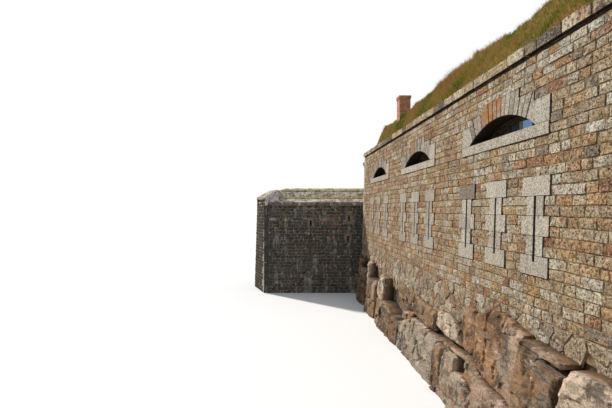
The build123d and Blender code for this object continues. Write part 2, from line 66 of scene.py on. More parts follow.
# Camera: its place, and the pixel where the wall's level lines meet
IMAGE_WIDTH = 612
IMAGE_HEIGHT = 408
FOCAL_PIXELS = 450
MEETING_POINT = (281, 209)
EYE = (13.57, -4.844, 5.2)
SENSOR = 36.0

# Places read from the frame
ROW_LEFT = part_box("upper_wall_1")[0].x
ROW_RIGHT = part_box("upper_wall_4")[1].x
WALL_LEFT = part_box("corner_piers")[0].x
WALL_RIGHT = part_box("corner_piers")[1].x
WALL_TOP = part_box("front_coping")[0].z
COPING_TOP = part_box("front_coping")[1].z
COPING_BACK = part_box("front_coping")[1].y
SILL_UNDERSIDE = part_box("loophole_sills")[0].z
BLOCK_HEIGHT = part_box("loophole_sills")[1].z - SILL_UNDERSIDE
LINTEL_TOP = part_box("loophole_lintels")[1].z
REAR_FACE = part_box("rear_piers")[1].y
FLANK_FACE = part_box("end_walls")[0].x
FAR_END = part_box("caponier_flanks")[0].x
CAPONIER_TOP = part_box("caponier_flanks")[1].z
NOSE_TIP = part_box("caponier_nose")[0].y
ROOT_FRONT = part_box("root_block")[0].y
WALL_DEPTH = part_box("upper_wall_1")[1].y

# Sizes that the part has and its boxes don't give
BATTER = 0.03
BAY_COUNT = 4
BAY_PITCH = (ROW_RIGHT - ROW_LEFT) / BAY_COUNT
BAY_CENTRES = [ROW_LEFT + (n + 0.5) * BAY_PITCH for n in range(BAY_COUNT)]
REAR_CENTRES = [-centre for centre in BAY_CENTRES]
LOOPHOLE_SPACING = 1.62
LOOPHOLES_PER_BAY = 3
SLIT_WIDTH = 0.07
SLIT_INTO_SILL = 0.115
NARROW_BLOCK = 0.58
WIDE_BLOCK = 0.96
DRESSED_DEPTH = 0.6
LOOPHOLE_PROUD = 0.035
LUNETTE_WIDTH = 3.1
LUNETTE_SPRINGING = 6.863
LUNETTE_RISE = 0.45
SURROUND_WIDTH = 4.04
SURROUND_SILL = 0.247
SURROUND_SHOULDER = 0.507
SURROUND_STEP = 0.2
SURROUND_STEP_IN = 0.56
SURROUND_PROUD = 0.02
SURROUND_BOTTOM = LUNETTE_SPRINGING - SURROUND_SILL
SHOULDER = LUNETTE_SPRINGING + SURROUND_SHOULDER
CROWN = SHOULDER + 2 * SURROUND_STEP
DOOR_WIDTH = 1.3
DOOR_SPRINGING = 5.1
DOOR_TRIM = 0.25
REAR_STONE_DEPTH = 0.35
FLOOR_LEVEL = 2.9
CORNER_DEPTH = 0.6
NOSE_SHOULDER = NOSE_TIP + 0.7
CAPONIER_MIDDLE = (FAR_END + FLANK_FACE) / 2

# The loopholes along the wall, and half the width and the top of each step round a lunette
LOOPHOLES = [
    centre + (n - (LOOPHOLES_PER_BAY - 1) / 2) * LOOPHOLE_SPACING
    for centre in BAY_CENTRES
    for n in range(LOOPHOLES_PER_BAY)
]
SURROUND_STEPS = [
    (SURROUND_WIDTH / 2 - n * SURROUND_STEP_IN, SHOULDER + n * SURROUND_STEP) for n in range(3)
]


# Shader helpers
def srgb(red, green, blue):
    """Screen colour in 8 bits as the linear colour that a shader takes."""
    def linear(value):
        share = value / 255
        return share / 12.92 if share <= 0.04045 else ((share + 0.055) / 1.055) ** 2.4
    return (linear(red), linear(green), linear(blue), 1.0)


class Nodes:
    """A node tree that grows one call at a time."""

    def __init__(self, tree):
        self.tree = tree

    def add(self, kind, inputs=None, **settings):
        node = self.tree.nodes.new(kind)
        for name, value in settings.items():
            setattr(node, name, value)
        for name, value in (inputs or {}).items():
            if isinstance(value, bpy.types.NodeSocket):
                self.tree.links.new(value, node.inputs[name])
            else:
                node.inputs[name].default_value = value
        return node

    def maths(self, operation, first, second):
        node = self.add("ShaderNodeMath", {0: first, 1: second}, operation=operation)
        return node.outputs["Value"]


class Shader(Nodes):
    """A material: noises and marks of the mesh, and the tints that they lay over a colour."""

    def __init__(self, name, roughness=0.9, specular=0.25):
        self.material = bpy.data.materials.new(name)
        self.material.use_nodes = True
        super().__init__(self.material.node_tree)
        self.surface = self.tree.nodes["Principled BSDF"]
        self.surface.inputs["Roughness"].default_value = roughness
        self.surface.inputs["Specular IOR Level"].default_value = specular
        self.place = self.add("ShaderNodeTexCoord").outputs["Object"]

    def mark(self, name):
        return self.add("ShaderNodeAttribute", attribute_name=name).outputs["Fac"]

    def parts(self, vector):
        return self.add("ShaderNodeSeparateXYZ", {0: vector}).outputs

    def noise(self, scale, detail=3.0, roughness=0.6, stretch=None):
        """Layered noise. Along an axis with a stretch under 1 it runs out long."""
        place = self.place
        if stretch:
            mapping = self.add("ShaderNodeMapping", {"Vector": place, "Scale": stretch})
            place = mapping.outputs["Vector"]
        inputs = {"Vector": place, "Scale": scale, "Detail": detail, "Roughness": roughness}
        return self.add("ShaderNodeTexNoise", inputs).outputs["Fac"]

    def band(self, value, low, high, start=0.0, end=1.0):
        """A value between low and high as one between start and end."""
        inputs = {
            "Value": value, "From Min": low, "From Max": high, "To Min": start, "To Max": end,
        }
        return self.add("ShaderNodeMapRange", inputs).outputs["Result"]

    def mix(self, share, first, second, blend="MIX"):
        inputs = {0: share, 6: first, 7: second}
        return self.add("ShaderNodeMix", inputs, data_type="RGBA", blend_type=blend).outputs[2]

    def cover(self, colour, value, low, high, share, tint):
        """Colour under a tint that grows to its full share as a value goes from low to high."""
        return self.mix(self.band(value, low, high, 0.0, share), colour, srgb(*tint))

    def shaded(self, colour, value, dark, light):
        """Colour made darker and lighter by a noise."""
        shade = self.band(value, 0.3, 0.7, dark, light)
        grey = self.add("ShaderNodeCombineColor", {0: shade, 1: shade, 2: shade})
        return self.mix(1.0, colour, grey.outputs["Color"], "MULTIPLY")

    def ramp(self, value, colours, smooth=False):
        """Colours one after another along a value."""
        node = self.add("ShaderNodeValToRGB", {"Fac": value})
        ramp = node.color_ramp
        ramp.interpolation = "LINEAR" if smooth else "CONSTANT"
        steps = len(colours) - 1 if smooth else len(colours)
        for n, colour in enumerate(colours):
            stop = ramp.elements[n] if n < 2 else ramp.elements.new(n / steps)
            stop.position = n / steps
            stop.color = srgb(*colour)
        return node.outputs["Color"]

    def tones(self, *colours, smooth=False):
        """The colour of each stone by its own tone."""
        return self.ramp(self.mark("tone"), colours, smooth)

    def drawn_stones(self, place, light, dark, mortar, joint, length, height):
        """Colours of stones in courses that the shader draws."""
        inputs = {
            "Vector": place, "Scale": 1.0,
            "Color1": srgb(*light), "Color2": srgb(*dark), "Mortar": srgb(*mortar),
            "Mortar Size": joint, "Brick Width": length, "Row Height": height,
        }
        return self.add("ShaderNodeTexBrick", inputs).outputs["Color"]

    def colour(self, socket):
        self.tree.links.new(socket, self.surface.inputs["Base Color"])

    def bump(self, height, distance):
        node = self.add("ShaderNodeBump", {"Height": height, "Distance": distance, "Strength": 1.0})
        self.tree.links.new(node.outputs["Normal"], self.surface.inputs["Normal"])


# Materials
def hewn(shader, colour, pale, dark, depth):
    """Rough granite over a colour: pits, dark mica, pale feldspar and soft mottling."""
    pits = shader.noise(21.0, 5.0, 0.76)
    grain = shader.noise(58.0, 3.0, 0.8)
    colour = shader.cover(colour, grain, 0.53, 0.64, pale, (246, 240, 224))
    colour = shader.cover(colour, grain, 0.47, 0.38, 0.6 * dark, (70, 56, 42))
    colour = shader.cover(colour, pits, 0.45, 0.38, dark, (48, 38, 28))
    height = shader.maths("MULTIPLY", shader.band(pits, 0.33, 0.5), 0.5)
    height = shader.maths("ADD", shader.noise(7.0, 6.0, 0.72), height)
    height = shader.maths("ADD", height, shader.maths("MULTIPLY", grain, 0.15))
    shader.bump(height, depth)
    return shader.shaded(colour, shader.noise(3.6, 5.0, 0.72), 0.7, 1.42)


def coursed_granite():
    """Weathered granite of the walls: beige, ochre and rust stones with dark grain."""
    shader = Shader("coursed_granite")
    colour = shader.tones(
        (220, 205, 176), (202, 180, 145), (211, 196, 166), (192, 162, 118), (216, 205, 182),
        (190, 150, 100), (204, 184, 150), (197, 174, 136), (226, 217, 198), (188, 136, 84),
        (204, 178, 138), (178, 152, 118), (212, 196, 166), (200, 158, 104), (146, 130, 112),
        (198, 172, 134), (208, 194, 170), (166, 108, 70), (190, 162, 122), (208, 188, 154),
    )
    far = shader.band(shader.parts(shader.place)["X"], 6.5, -2.0, 0.0, 0.05)
    patch = shader.maths("ADD", shader.noise(5.2, 5.0, 0.72), far)
    colour = shader.cover(colour, patch, 0.51, 0.62, 0.7, (188, 132, 74))
    stain = shader.maths("ADD", shader.noise(1.2, 5.0, 0.7), far)
    colour = shader.cover(colour, stain, 0.54, 0.68, 0.55, (164, 106, 62))
    pale = shader.noise(2.3, 5.0, 0.7)
    colour = shader.cover(colour, pale, 0.53, 0.66, 0.5, (216, 207, 186))
    damp = shader.noise(0.6, 4.0, 0.6, (1.6, 1.0, 0.35))
    colour = shader.cover(colour, damp, 0.55, 0.7, 0.3, (104, 86, 68))
    colour = hewn(shader, colour, 0.6, 0.92, 0.06)
    # Near-black by the dark mark: a painted shadow on the strip under the coping, and the dark
    # stain of the nose stones.
    shader.colour(shader.cover(colour, shader.mark("soot"), 0.0, 1.0, 0.85, (34, 27, 20)))
    return shader.material


def rubble_granite():
    """Stones of the rubble foot, with lime and rust."""
    shader = Shader("rubble_granite")
    colour = shader.tones(
        (204, 184, 154), (188, 164, 130), (214, 198, 170), (188, 148, 112), (168, 146, 122),
        (206, 182, 146), (176, 130, 98), (220, 208, 186), (196, 170, 138),
    )
    lime = shader.noise(2.4, 5.0, 0.72)
    colour = shader.cover(colour, lime, 0.53, 0.68, 0.6, (222, 214, 198))
    rust = shader.noise(4.1, 5.0, 0.72)
    colour = shader.cover(colour, rust, 0.53, 0.66, 0.6, (176, 118, 72))
    shader.colour(hewn(shader, colour, 0.55, 0.92, 0.07))
    return shader.material


def dressed_granite():
    """Smooth axed granite, evenly pale with fine grain and brown stain, with painted shade on the
    blocks' sides and worn edges.
    """
    shader = Shader("dressed_granite", 0.85)
    colour = shader.tones((198, 187, 168), (208, 198, 181), (190, 178, 159), (202, 190, 170))
    streak = shader.noise(3.4, 5.0, 0.7, (1.6, 1.0, 0.35))
    colour = shader.cover(colour, streak, 0.48, 0.68, 0.6, (146, 126, 102))
    colour = shader.mix(shader.mark("wear"), colour, srgb(112, 92, 72))
    speckle = shader.noise(23.0, 4.0, 0.8)
    colour = shader.cover(colour, speckle, 0.475, 0.42, 0.75, (92, 80, 68))
    colour = shader.cover(colour, speckle, 0.53, 0.6, 0.55, (236, 230, 216))
    grain = shader.noise(52.0, 4.0, 0.78)
    colour = shader.cover(colour, grain, 0.47, 0.38, 0.62, (86, 74, 62))
    colour = shader.cover(colour, grain, 0.54, 0.64, 0.45, (232, 226, 212))
    patch = shader.noise(5.5, 6.0, 0.78, (1.6, 1.0, 1.0))
    golden = shader.mix(shader.noise(16.0, 3.0, 0.7), srgb(118, 66, 10), srgb(206, 130, 12))
    share = shader.maths("MULTIPLY", shader.mark("lichen"), shader.band(patch, 0.43, 0.52))
    colour = shader.mix(share, colour, golden)
    # Near-black by the dark mark: painted shade on the blocks' sides and worn edges, and a light
    # stain on the fronts of some.
    shader.colour(shader.cover(colour, shader.mark("soot"), 0.02, 0.4, 0.92, (44, 36, 28)))
    shader.bump(grain, 0.008)
    return shader.material


def coping_granite():
    """Brown-grey coping stones with orange lichen and dark patches, and near-black painted shade on
    their undersides.
    """
    shader = Shader("coping_granite")
    colour = shader.tones(
        (214, 192, 158), (176, 152, 122), (228, 208, 176), (138, 116, 94), (200, 170, 132),
        (112, 94, 80), (208, 178, 138),
    )
    lichen = shader.noise(1.9, 5.0, 0.75)
    colour = shader.cover(colour, lichen, 0.53, 0.65, 0.7, (198, 134, 72))
    black = shader.noise(1.3, 5.0, 0.75)
    colour = shader.cover(colour, black, 0.56, 0.64, 0.75, (64, 54, 46))
    colour = hewn(shader, colour, 0.6, 0.95, 0.05)
    # Faces that look down are made near black: painted shade.
    upward = shader.parts(shader.add("ShaderNodeNewGeometry").outputs["Normal"])["Z"]
    shader.colour(shader.cover(colour, upward, -0.3, -0.75, 0.9, (26, 21, 16)))
    return shader.material


def dark_granite():
    """Stained stone of the caponier: broad black drip runs, rust and white lime."""
    shader = Shader("dark_granite")
    colour = shader.tones(
        (122, 119, 110), (174, 168, 154), (86, 83, 78), (168, 136, 100), (132, 130, 124),
        (224, 216, 200), (128, 104, 80), (74, 70, 64),
    )
    rust = shader.noise(1.9, 5.0, 0.75, (1.0, 0.6, 2.2))
    colour = shader.cover(colour, rust, 0.54, 0.6, 0.8, (158, 92, 48))
    pale = shader.noise(0.8, 4.0, 0.65)
    colour = shader.cover(colour, pale, 0.5, 0.6, 0.7, (176, 170, 162))
    drips = shader.noise(2.2, 6.0, 0.7, (1.0, 1.0, 0.16))
    colour = shader.cover(colour, drips, 0.42, 0.5, 0.84, (20, 19, 18))
    lime = shader.noise(5.6, 5.0, 0.78, (1.0, 1.0, 0.6))
    colour = shader.cover(colour, lime, 0.6, 0.63, 1.0, (255, 252, 244))
    shader.colour(hewn(shader, colour, 0.75, 0.9, 0.08))
    return shader.material


def slab_granite():
    """Pale pinkish slabs of the caponier's roof, with moss in the joints between the tiers."""
    shader = Shader("slab_granite")
    colour = shader.tones(
        (240, 228, 214), (226, 208, 190), (244, 234, 222), (170, 144, 126), (234, 218, 202),
        (196, 172, 152),
    )
    brown = shader.noise(4.0, 6.0, 0.82)
    colour = shader.cover(colour, brown, 0.53, 0.56, 0.9, (92, 70, 56))
    level = shader.maths("MULTIPLY", shader.mark("moss"), 0.42)
    damp = shader.maths("ADD", shader.noise(1.7, 6.0, 0.75), level)
    green = shader.mix(shader.noise(9.0, 4.0, 0.7), srgb(110, 118, 20), srgb(224, 220, 84))
    colour = shader.mix(shader.band(damp, 0.72, 0.77, 0.0, 0.95), colour, green)
    # Grey by its mark on the upright front of the caponier's coping: painted shade.
    colour = shader.mix(shader.mark("wear"), colour, srgb(88, 88, 82))
    shader.colour(hewn(shader, colour, 0.7, 0.4, 0.05))
    return shader.material


def mortar(name, light, dark):
    """Lime mortar behind the stones, with soil in it."""
    shader = Shader(name, 0.95)
    patch = shader.band(shader.noise(7.0, 5.0, 0.7), 0.35, 0.65)
    shader.colour(shader.mix(patch, srgb(*dark), srgb(*light)))
    shader.bump(shader.noise(60.0, 3.0, 0.7), 0.008)
    return shader.material


def laid_masonry():
    """Coursed stone of the rooms inside, drawn by the shader along both wall directions."""
    shader = Shader("laid_masonry", 0.95)
    parts = shader.parts(shader.place)
    along = shader.maths("ADD", parts["X"], parts["Y"])
    flat = shader.add("ShaderNodeCombineXYZ", {0: along, 1: parts["Z"]}).outputs[0]
    tints = ((180, 164, 138), (152, 130, 102), (112, 98, 80))
    stones = shader.drawn_stones(flat, *tints, 0.012, 0.46, 0.195)
    shader.colour(hewn(shader, stones, 0.3, 0.6, 0.03))
    return shader.material


def flagstone():
    """Worn slabs of the floors."""
    shader = Shader("flagstone", 0.9)
    tints = ((150, 140, 122), (128, 118, 102), (84, 74, 62))
    slabs = shader.drawn_stones(shader.place, *tints, 0.01, 0.9, 0.6)
    shader.colour(hewn(shader, slabs, 0.2, 0.4, 0.012))
    return shader.material


# The first tone is dark rock, and also painted shade in the recess behind the blocks and on the two
# blocks at the left end.
ROCK_TONES = [
    (94, 78, 64), (150, 122, 92), (172, 130, 92), (184, 154, 130), (236, 212, 184), (118, 109, 97),
]
DARK_AND_SHADE, BROWN, IRON, PINK, PALE, SLAB = range(len(ROCK_TONES))


def bedrock():
    """Fractured rock, each block with its own tone, iron stain and lichen, and painted shade in its
    cracks and hollows.
    """
    shader = Shader("bedrock")
    colour = shader.tones(*ROCK_TONES, smooth=True)
    bands = shader.noise(1.6, 6.0, 0.75, (0.7, 1.0, 0.6))
    colour = shader.cover(colour, bands, 0.52, 0.6, 0.6, (172, 120, 74))
    streaks = shader.noise(2.2, 6.0, 0.78, (0.7, 1.1, 0.6))
    colour = shader.cover(colour, streaks, 0.5, 0.58, 0.8, (76, 63, 52))
    lichen = shader.noise(2.6, 6.0, 0.75, (0.5, 1.2, 1.0))
    colour = shader.cover(colour, lichen, 0.52, 0.62, 0.5, (176, 166, 152))
    long = (0.5, 1.0, 1.0)
    flecks = shader.noise(4.0, 6.0, 0.8, long)
    colour = shader.cover(colour, flecks, 0.6, 0.65, 0.75, (232, 224, 210))
    mica = shader.noise(30.0, 4.0, 0.8, long)
    colour = shader.cover(colour, mica, 0.47, 0.4, 0.6, (72, 58, 46))
    colour = shader.shaded(colour, shader.noise(3.0, 6.0, 0.78, long), 0.56, 1.46)
    # Near-black by the dark mark: painted shade in cracks and hollows.
    shader.colour(shader.cover(colour, shader.mark("soot"), 0.0, 1.0, 0.85, (40, 31, 23)))
    shader.bump(shader.noise(6.0, 8.0, 0.75, (0.45, 0.7, 1.3)), 0.07)
    return shader.material


def turf_soil():
    """Ground of the bank between the blades."""
    shader = Shader("turf_soil", 1.0, 0.1)
    colours = [(52, 56, 20), (84, 78, 34), (116, 94, 52), (62, 64, 26)]
    shader.colour(shader.ramp(shader.noise(1.4, 5.0, 0.7), colours, smooth=True))
    shader.bump(shader.noise(22.0, 5.0, 0.75), 0.05)
    return shader.material


def turf_blades():
    """Grass: dark and fresh green to straw and dead brown."""
    shader = Shader("turf_blades", 0.8, 0.2)
    colours = (
        (48, 66, 20), (104, 126, 36), (160, 160, 58), (212, 184, 108), (216, 174, 124),
        (158, 110, 74),
    )
    shader.colour(shader.tones(*colours, smooth=True))
    return shader.material


def brick():
    """Orange-red bricks, some burnt darker."""
    shader = Shader("brick")
    colour = shader.tones((224, 150, 110), (208, 130, 94), (232, 170, 132), (186, 120, 92))
    burnt = shader.noise(9.0, 4.0, 0.7)
    shader.colour(shader.cover(colour, burnt, 0.52, 0.72, 0.55, (120, 92, 78)))
    shader.bump(shader.noise(60.0, 3.0, 0.7), 0.005)
    return shader.material


def painted_timber():
    """Window timbers: old cream paint on some, bare dark wood on the rest."""
    shader = Shader("painted_timber", 0.6)
    worn = shader.noise(18.0, 5.0, 0.7)
    paint = shader.cover(srgb(214, 192, 150), worn, 0.5, 0.7, 0.5, (140, 112, 82))
    shader.colour(shader.mix(shader.mark("wear"), paint, srgb(46, 38, 30)))
    shader.bump(shader.noise(70.0, 3.0, 0.7), 0.002)
    return shader.material


def window_glass():
    """Window panes in a painted reflection of the blue sky that glows a little, near black where
    they hold a painted dark reflection.
    """
    shader = Shader("window_glass", 0.12, 0.7)
    haze = shader.noise(2.0, 3.0, 0.6)
    blue = shader.mix(haze, srgb(120, 178, 250), srgb(196, 226, 255))
    colour = shader.mix(shader.mark("wear"), blue, srgb(34, 30, 27))
    shader.colour(colour)
    # The pane colour also glows a little: a painted reflection of the sky.
    shader.tree.links.new(colour, shader.surface.inputs["Emission Color"])
    shader.surface.inputs["Emission Strength"].default_value = 0.3
    return shader.material


MATERIALS = {
    "coursed_granite": coursed_granite(),
    "rubble_granite": rubble_granite(),
    "dressed_granite": dressed_granite(),
    "coping_granite": coping_granite(),
    "dark_granite": dark_granite(),
    "slab_granite": slab_granite(),
    "flagstone": flagstone(),
    "bedrock": bedrock(),
    "turf": turf_blades(),
    "brick": brick(),
    "painted_timber": painted_timber(),
    "window_glass": window_glass(),
}
LIGHT_MORTAR = mortar("light_mortar", (160, 134, 100), (62, 47, 33))
DARK_MORTAR = mortar("dark_mortar", (214, 208, 192), (66, 63, 57))
BRICK_MORTAR = mortar("brick_mortar", (176, 150, 126), (132, 106, 86))
MASONRY = laid_masonry()
SOIL = turf_soil()


# Geometry helpers
class Face:
    """A flat face that may lean: u runs along it, v up it, and w stands out from it."""

    def __init__(self, start, along, up=(0, 0, 1), lean=0.0):
        self.start = np.array(start, float)
        self.along = np.array(along, float) / np.linalg.norm(along)
        self.up = np.array(up, float)
        self.out = np.cross(self.along, self.up)
        self.lean = lean

    def points(self, u, v, w):
        u, v, w = (np.asarray(part, float)[..., None] for part in (u, v, w))
        return self.start + self.along * u + self.up * v + self.out * (w - self.lean * v)


SCARP = Face((0, 0, 0), (1, 0, 0), lean=BATTER)
REAR = Face((0, REAR_FACE, 0), (-1, 0, 0))


def placed(name, data):
    """An object of some data, in the scene."""
    item = bpy.data.objects.new(name, data)
    bpy.context.scene.collection.objects.link(item)
    return item


class Pile:
    """Collects stones and turns them into one mesh with marks that the shaders read."""

    def __init__(self, seed):
        self.rng = np.random.default_rng(seed)
        self.points = []
        self.faces = []
        self.marks = {"tone": [], "wear": [], "lichen": [], "soot": [], "moss": []}
        self.count = 0

    def add(self, points, faces, **marks):
        points = np.reshape(points, (-1, 3))
        self.points.append(points)
        self.faces.extend([[index + self.count for index in face] for face in faces])
        marks.setdefault("tone", self.rng.random())
        for name, values in self.marks.items():
            values.append(np.broadcast_to(marks.get(name, 0.0), len(points)))
        self.count += len(points)

    def build(self, name, slot, replaces=(), crease=None, material=None):
        """Joins the stones; edges up to the crease angle are smooth, and all are flat without."""
        mesh = bpy.data.meshes.new(name)
        points = np.clip(np.concatenate(self.points), *cad_box)
        mesh.from_pydata(points.tolist(), [], self.faces)
        for mark, values in self.marks.items():
            values = np.concatenate(values)
            if mark == "tone" or values.any():
                layer = mesh.attributes.new(mark, "FLOAT", "POINT")
                layer.data.foreach_set("value", values.astype(np.float32))
        if crease:
            mesh.polygons.foreach_set("use_smooth", [True] * len(mesh.polygons))
            mesh.set_sharp_from_angle(angle=math.radians(crease))
        mesh.materials.append(material or MATERIALS[slot])
        mesh.update()
        piece = placed(name, mesh)
        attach(piece, "root")
        if replaces:
            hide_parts(*replaces)


def grid_faces(columns, rows):
    """Quads of a grid of points, row by row."""
    faces = []
    for row in range(rows - 1):
        for column in range(columns - 1):
            first = row * columns + column
            faces.append([first, first + 1, first + 1 + columns, first + columns])
    return faces


def ring_faces(count, rings):
    """Quads between rings of the same number of points, each further out than the last."""
    faces = []
    for ring in range(rings - 1):
        for n in range(count):
            after = (n + 1) % count
            base = ring * count
            faces.append([base + n, base + after, base + count + after, base + count + n])
    return faces


def rectangle(left, right, low, high):
    """Anticlockwise corners."""
    return [(left, low), (right, low), (right, high), (left, high)]


def inset(outline, distance):
    """Outline moved in by the same distance on every side. It runs anticlockwise."""
    before = outline - np.roll(outline, 1, axis=0)
    after = np.roll(outline, -1, axis=0) - outline
    before = before / np.linalg.norm(before, axis=1, keepdims=True)
    after = after / np.linalg.norm(after, axis=1, keepdims=True)
    first = np.stack((-before[:, 1], before[:, 0]), axis=1)
    second = np.stack((-after[:, 1], after[:, 0]), axis=1)
    spread = 1 + np.sum(first * second, axis=1, keepdims=True)
    return outline + distance * (first + second) / np.maximum(spread, 0.3)


def clipped(polygon, point, normal):
    """Part of a convex polygon behind a line."""
    kept = []
    sides = (polygon - point) @ normal
    for n, here in enumerate(polygon):
        there = polygon[(n + 1) % len(polygon)]
        side, other = sides[n], sides[(n + 1) % len(polygon)]
        if side <= 0:
            kept.append(here)
        if side * other < 0:
            kept.append(here + (there - here) * side / (side - other))
    return np.reshape(kept, (-1, 2))


def tidied(outline):
    """Outline without corners that all but touch."""
    gaps = np.linalg.norm(outline - np.roll(outline, 1, axis=0), axis=1)
    return outline[gaps > 0.01]


# Stones. The edge of a rough one lies behind the face by SINK. A face that the photo doesn't
# show has its stones in fewer, COARSE cells.
SINK = 0.014
COARSE = 0.17


def bed_wave(u, v):
    """Slow rise and fall of the beds, so that no course is ruled straight."""
    return 0.007 * np.sin(1.9 * u + 2.3 * v) + 0.004 * np.sin(4.7 * u - 3.1 * v)


def laid_stone(pile, face, u, v, proud, rough, columns, rows, joint=0.005, **marks):
    """Rough-faced rectangular stone, nearly flat, that stands a little out of its joints."""
    rng = pile.rng
    edge = 0.009
    gaps = joint * rng.uniform(0.3, 1.7, 4)
    left, right = u[0] + gaps[0], u[1] - gaps[1]
    low, high = v[0] + gaps[2], v[1] - gaps[3]
    us = np.concatenate(([left], np.linspace(left + edge, right - edge, columns), [right]))
    vs = np.concatenate(([low], np.linspace(low + edge, high - edge, rows), [high]))
    across, height = np.meshgrid(us, vs)
    out = np.full(across.shape, -SINK)
    share_u = (across - left) / (right - left)
    share_v = (height - low) / (high - low)
    face_out = proud * rng.uniform(0.4, 1.3) + rng.uniform(-rough, rough, (rows, columns))
    face_out[[0, -1], :] -= 0.2 * proud
    face_out[:, [0, -1]] -= 0.2 * proud
    tilt = proud * rng.uniform(-0.5, 0.5, 2)
    face_out += tilt[0] * (share_u[1:-1, 1:-1] - 0.5) + tilt[1] * (share_v[1:-1, 1:-1] - 0.5)
    out[1:-1, 1:-1] = face_out
    inner_u = (right - left) / (columns + 1) * 0.2
    inner_v = (high - low) / (rows + 1) * 0.2
    across[2:-2, 2:-2] += rng.uniform(-inner_u, inner_u, (rows - 2, columns - 2))
    height[2:-2, 2:-2] += rng.uniform(-inner_v, inner_v, (rows - 2, columns - 2))
    corners = rng.uniform(-1, 1, 4)
    skew = (corners[0] * share_u + corners[1] * (1 - share_u)) * (share_v - 0.5)
    lean = (corners[2] * share_v + corners[3] * (1 - share_v)) * (share_u - 0.5)
    height = height + 0.012 * skew + bed_wave(across, height)
    across = across + 0.026 * lean
    pile.add(face.points(across, height, out), grid_faces(columns + 2, rows + 2), **marks)


def dressed_stone(pile, face, outline, back, front, joint=0.003, arris=0.006, stain=0.0, **marks):
    """Smooth block with any outline, cut from back to front, with worn front edges."""
    outline = inset(np.array(outline, float), joint)
    small = inset(outline, arris)
    lift = pile.rng.uniform(-0.002, 0.002)
    rings = [(outline, back), (outline, front - arris + lift), (small, front + lift)]
    points = [face.points(ring[:, 0], ring[:, 1], depth) for ring, depth in rings]
    count = len(outline)
    faces = ring_faces(count, 3)
    faces.append([2 * count + n for n in range(count)])
    faces.append([n for n in reversed(range(count))])
    # The dark mark is full on the sides and strong on the worn edges: painted shade. On the front
    # it is the stone's own stain.
    soot = np.repeat((1.0, max(0.34, stain), stain), count)
    pile.add(np.concatenate(points), faces, soot=soot, **marks)


def rubble_stone(pile, face, outline, proud, rough, **marks):
    """Irregular stone with any convex outline and a rough, nearly flat front."""
    rng = pile.rng
    split = []
    for start, end in zip(outline, np.roll(outline, -1, axis=0)):
        steps = max(1, round(float(np.linalg.norm(end - start)) / 0.11))
        for n in range(steps):
            split.append(start + (end - start) * n / steps)
    outline = np.array(split)
    centre = outline.mean(axis=0)
    count = len(outline)
    outline = centre + (outline - centre) * rng.uniform(0.95, 1.0, (count, 1))
    layers = [(0.0, -SINK), (0.06, 0.75 * proud), (0.4, proud), (0.75, proud)]
    tilt = rng.uniform(-0.05, 0.05, 2)
    points = []
    for share, out in layers:
        ring = outline + (centre - outline) * share
        depth = np.full(count, out)
        if share:
            depth = depth + rng.uniform(-rough, rough, count) + (ring - centre) @ tilt
        points.append(face.points(ring[:, 0], ring[:, 1], depth))
    points.append(face.points(centre[:1], centre[1:], [proud]))
    faces = ring_faces(count, len(layers))
    last = (len(layers) - 1) * count
    faces += [[last + n, last + (n + 1) % count, last + count] for n in range(count)]
    pile.add(np.concatenate(points), faces, **marks)


@functools.cache
def block_lattice(*cuts):
    """Surface points of a box from -1 to 1 that is cut along each axis, and its quads."""
    index = {}
    faces = []
    turn = [(0, 0), (1, 0), (1, 1), (0, 1)]
    other_turn = [(0, 0), (0, 1), (1, 1), (1, 0)]
    for axis in (2, 1, 0):
        first, second = (n for n in range(3) if n != axis)
        for a, b in itertools.product(range(cuts[first]), range(cuts[second])):
            for end in (0, cuts[axis]):
                face = []
                for step in turn if (end > 0) != (axis == 1) else other_turn:
                    place = [end, end, end]
                    place[first] = a + step[0]
                    place[second] = b + step[1]
                    face.append(index.setdefault(tuple(place), len(index)))
                faces.append(face)
    return 2 * np.array(list(index)) / cuts - 1, faces


def rough_block(pile, low, high, rough, cell=0.14, soft=0.03, **marks):
    """Block between two corners, with worn edges and an uneven surface inside its box."""
    low, high = np.array(low, float), np.array(high, float)
    size = high - low
    cuts = tuple(int(min(8, max(2, round(length / cell)))) for length in size)
    unit, faces = block_lattice(*cuts)
    near_edge = np.sort(np.abs(unit), axis=1)[:, 1] > 0.999
    near_corner = np.sort(np.abs(unit), axis=1)[:, 0] > 0.999
    pull = np.where(near_corner, 1.6, np.where(near_edge, 1.0, 0.0))[:, None]
    points = low + (unit + 1) / 2 * size
    inward = -np.sign(unit) * (np.abs(unit) > 0.999)
    points = points + inward * pull * soft * pile.rng.uniform(0.3, 1.0, (len(unit), 1))
    points = points + inward * pile.rng.uniform(0, 2 * rough, (len(unit), 1))
    pile.add(points, faces, **marks)


def box_stone(pile, low, high, **marks):
    """Plain squared piece between two corners."""
    unit, faces = block_lattice(1, 1, 1)
    low, high = np.array(low), np.array(high)
    pile.add(low + (unit + 1) / 2 * (high - low), faces, **marks)


# Coursed walls. A course runs on past a hole that it meets by less than MEETING, and a gap
# shorter than SHORTEST gets no stone.
MEETING = 0.02
SHORTEST = 0.03
LONG_QUOIN = 0.52
SHORT_QUOIN = 0.3


def box_hole(u, v):
    """Rectangle that no course may cover: its stretch of a course, or nothing."""
    def blocked(low, high):
        return u if min(high, v[1]) - max(low, v[0]) > MEETING else None
    return blocked


def round_hole(centre, radius, springing):
    """Half round that no course may cover."""
    def blocked(low, high):
        if high <= springing + MEETING or low >= springing + radius - MEETING:
            return None
        rise = max(0.0, low - springing)
        half = math.sqrt(radius * radius - rise * rise)
        return (centre - half, centre + half)
    return blocked


def free_spans(start, end, blocked):
    """Stretches between the blocked ones."""
    spans = []
    at = start
    for low, high in sorted(blocked):
        if low > at + SHORTEST:
            spans.append((at, min(low, end)))
        at = max(at, high)
    if at < end - SHORTEST:
        spans.append((at, end))
    return spans


